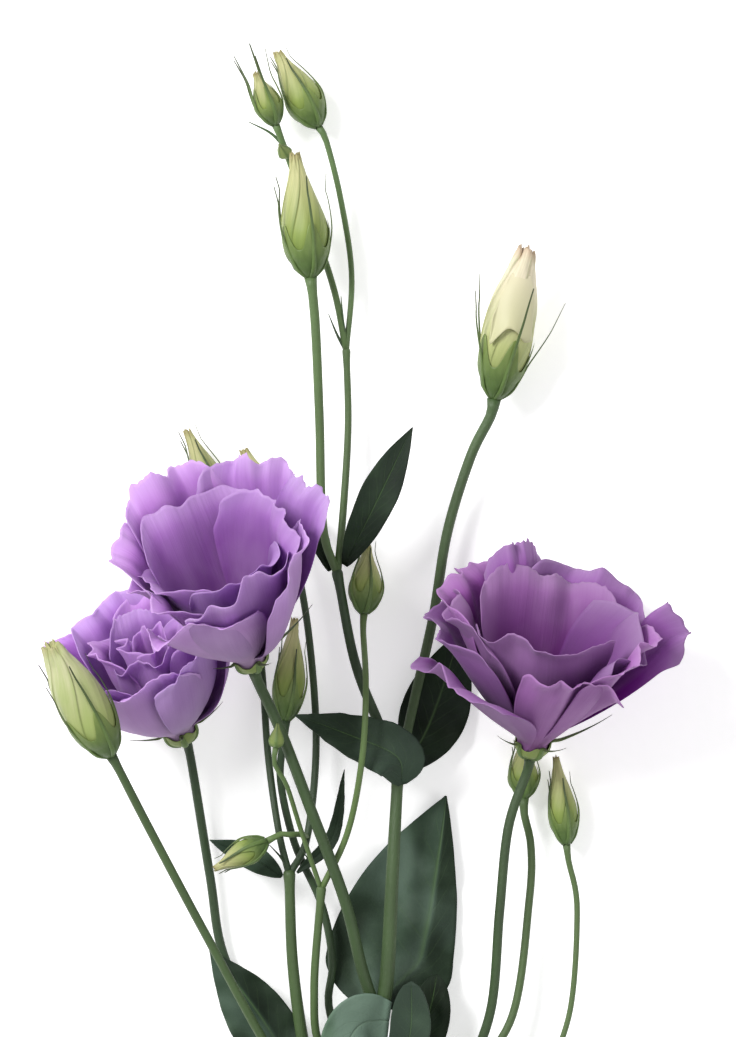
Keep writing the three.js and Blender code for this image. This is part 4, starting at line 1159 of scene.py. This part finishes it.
def build_stamens(name, place, material):
    """Five threads with their anthers, joined at the foot by a thin ring."""
    axis = place["axis"]
    foot = place["foot"] + axis * (CORE_START + CORE_HEIGHT + SEAT_GAP)
    skin = Skin()
    for angle in around(STAMENS, 0.5):
        out = turned(place, angle)
        thread = [foot + out * distance + axis * height for distance, height in THREAD]
        anther = [thread[-1] + out * distance + axis * height for distance, height in ANTHER]
        tube(skin, route(thread, 10), lambda t: 0.22, 8, 0.8)
        tube(skin, route(anther, 10), lambda t: 0.2 + 0.55 * math.sin(math.pi * t), 10, 0.3)
    ring = [foot + axis * 0.25 + THREAD[0][0] * turned(place, a) for a in (*around(RING_POINTS), 0)]
    tube(skin, route(ring, 2), lambda t: 0.3, 8, 0.6)
    skin.make("stamens_of_" + name, material, "bloom_" + name + "_stamens")


# ---------------------------------------------------------------- the scene

def build_floor():
    mesh = bpy.data.meshes.new("surface")
    far = FLOOR_REACH
    corners = [(-far, -far, 0), (far, -far, 0), (far, far, 0), (-far, far, 0)]
    mesh.from_pydata(corners, [], [(0, 1, 2, 3)])
    m = Material("white_surface")
    colour = m.ramp(m.grain(m.place(), 400.0), (0.3, 0.93), (0.7, 0.96))
    paper = m.node("BsdfPrincipled", {"Base Color": colour, "Roughness": 0.9,
                                      "Specular IOR Level": 0.1, "Emission Color": shade(1.0),
                                      "Emission Strength": FLOOR_GLOW})
    mesh.materials.append(m.finish(paper))
    floor = bpy.data.objects.new("surface", mesh)
    bpy.context.scene.collection.objects.link(floor)


def build_plant():
    petals, calyx, blade = petal_material(), calyx_material(), leaf_material()
    green_bud = bud_material("bud_green", "55722f", "8a9c4b", "cbc791", "5c7436", "9c8257")
    cream_bud = bud_material("bud_cream", "6d8439", "b9c07f", "eadfc4", "98a466", "bd957a")
    pistil = plain_material("pistil_green", "9aa653", "c6cf7d", 900.0)
    stamen = plain_material("stamen_yellow", "cdb245", "ead98a", 1400.0)
    build_stem(stem_material())
    for k, (name, leaf) in enumerate(LEAVES.items()):
        build_leaf(name, leaf, blade, np.random.default_rng(LEAF_SEED + k))
    for k, (name, bud) in enumerate(BUDS.items()):
        skin = cream_bud if bud.get("full") else green_bud
        build_corolla(name, bud, skin, np.random.default_rng(BUD_SEED + k))
        build_calyx(name, bud, calyx)
    for name, bud in CLOSED_BUDS.items():
        build_closed_bud(name, bud, calyx)
    for k, (name, bloom) in enumerate(BLOOMS.items()):
        place = axes(bloom["foot"], bloom["facing"])
        build_petals(name, bloom, place, petals, np.random.default_rng(BLOOM_SEED + k))
        build_bloom_calyx(name, bloom, place, calyx)
        build_pistil(name, place, pistil)
        build_stamens(name, place, stamen)


set_camera()
set_lights()
build_floor()
build_plant()
bpy.context.view_layer.update()
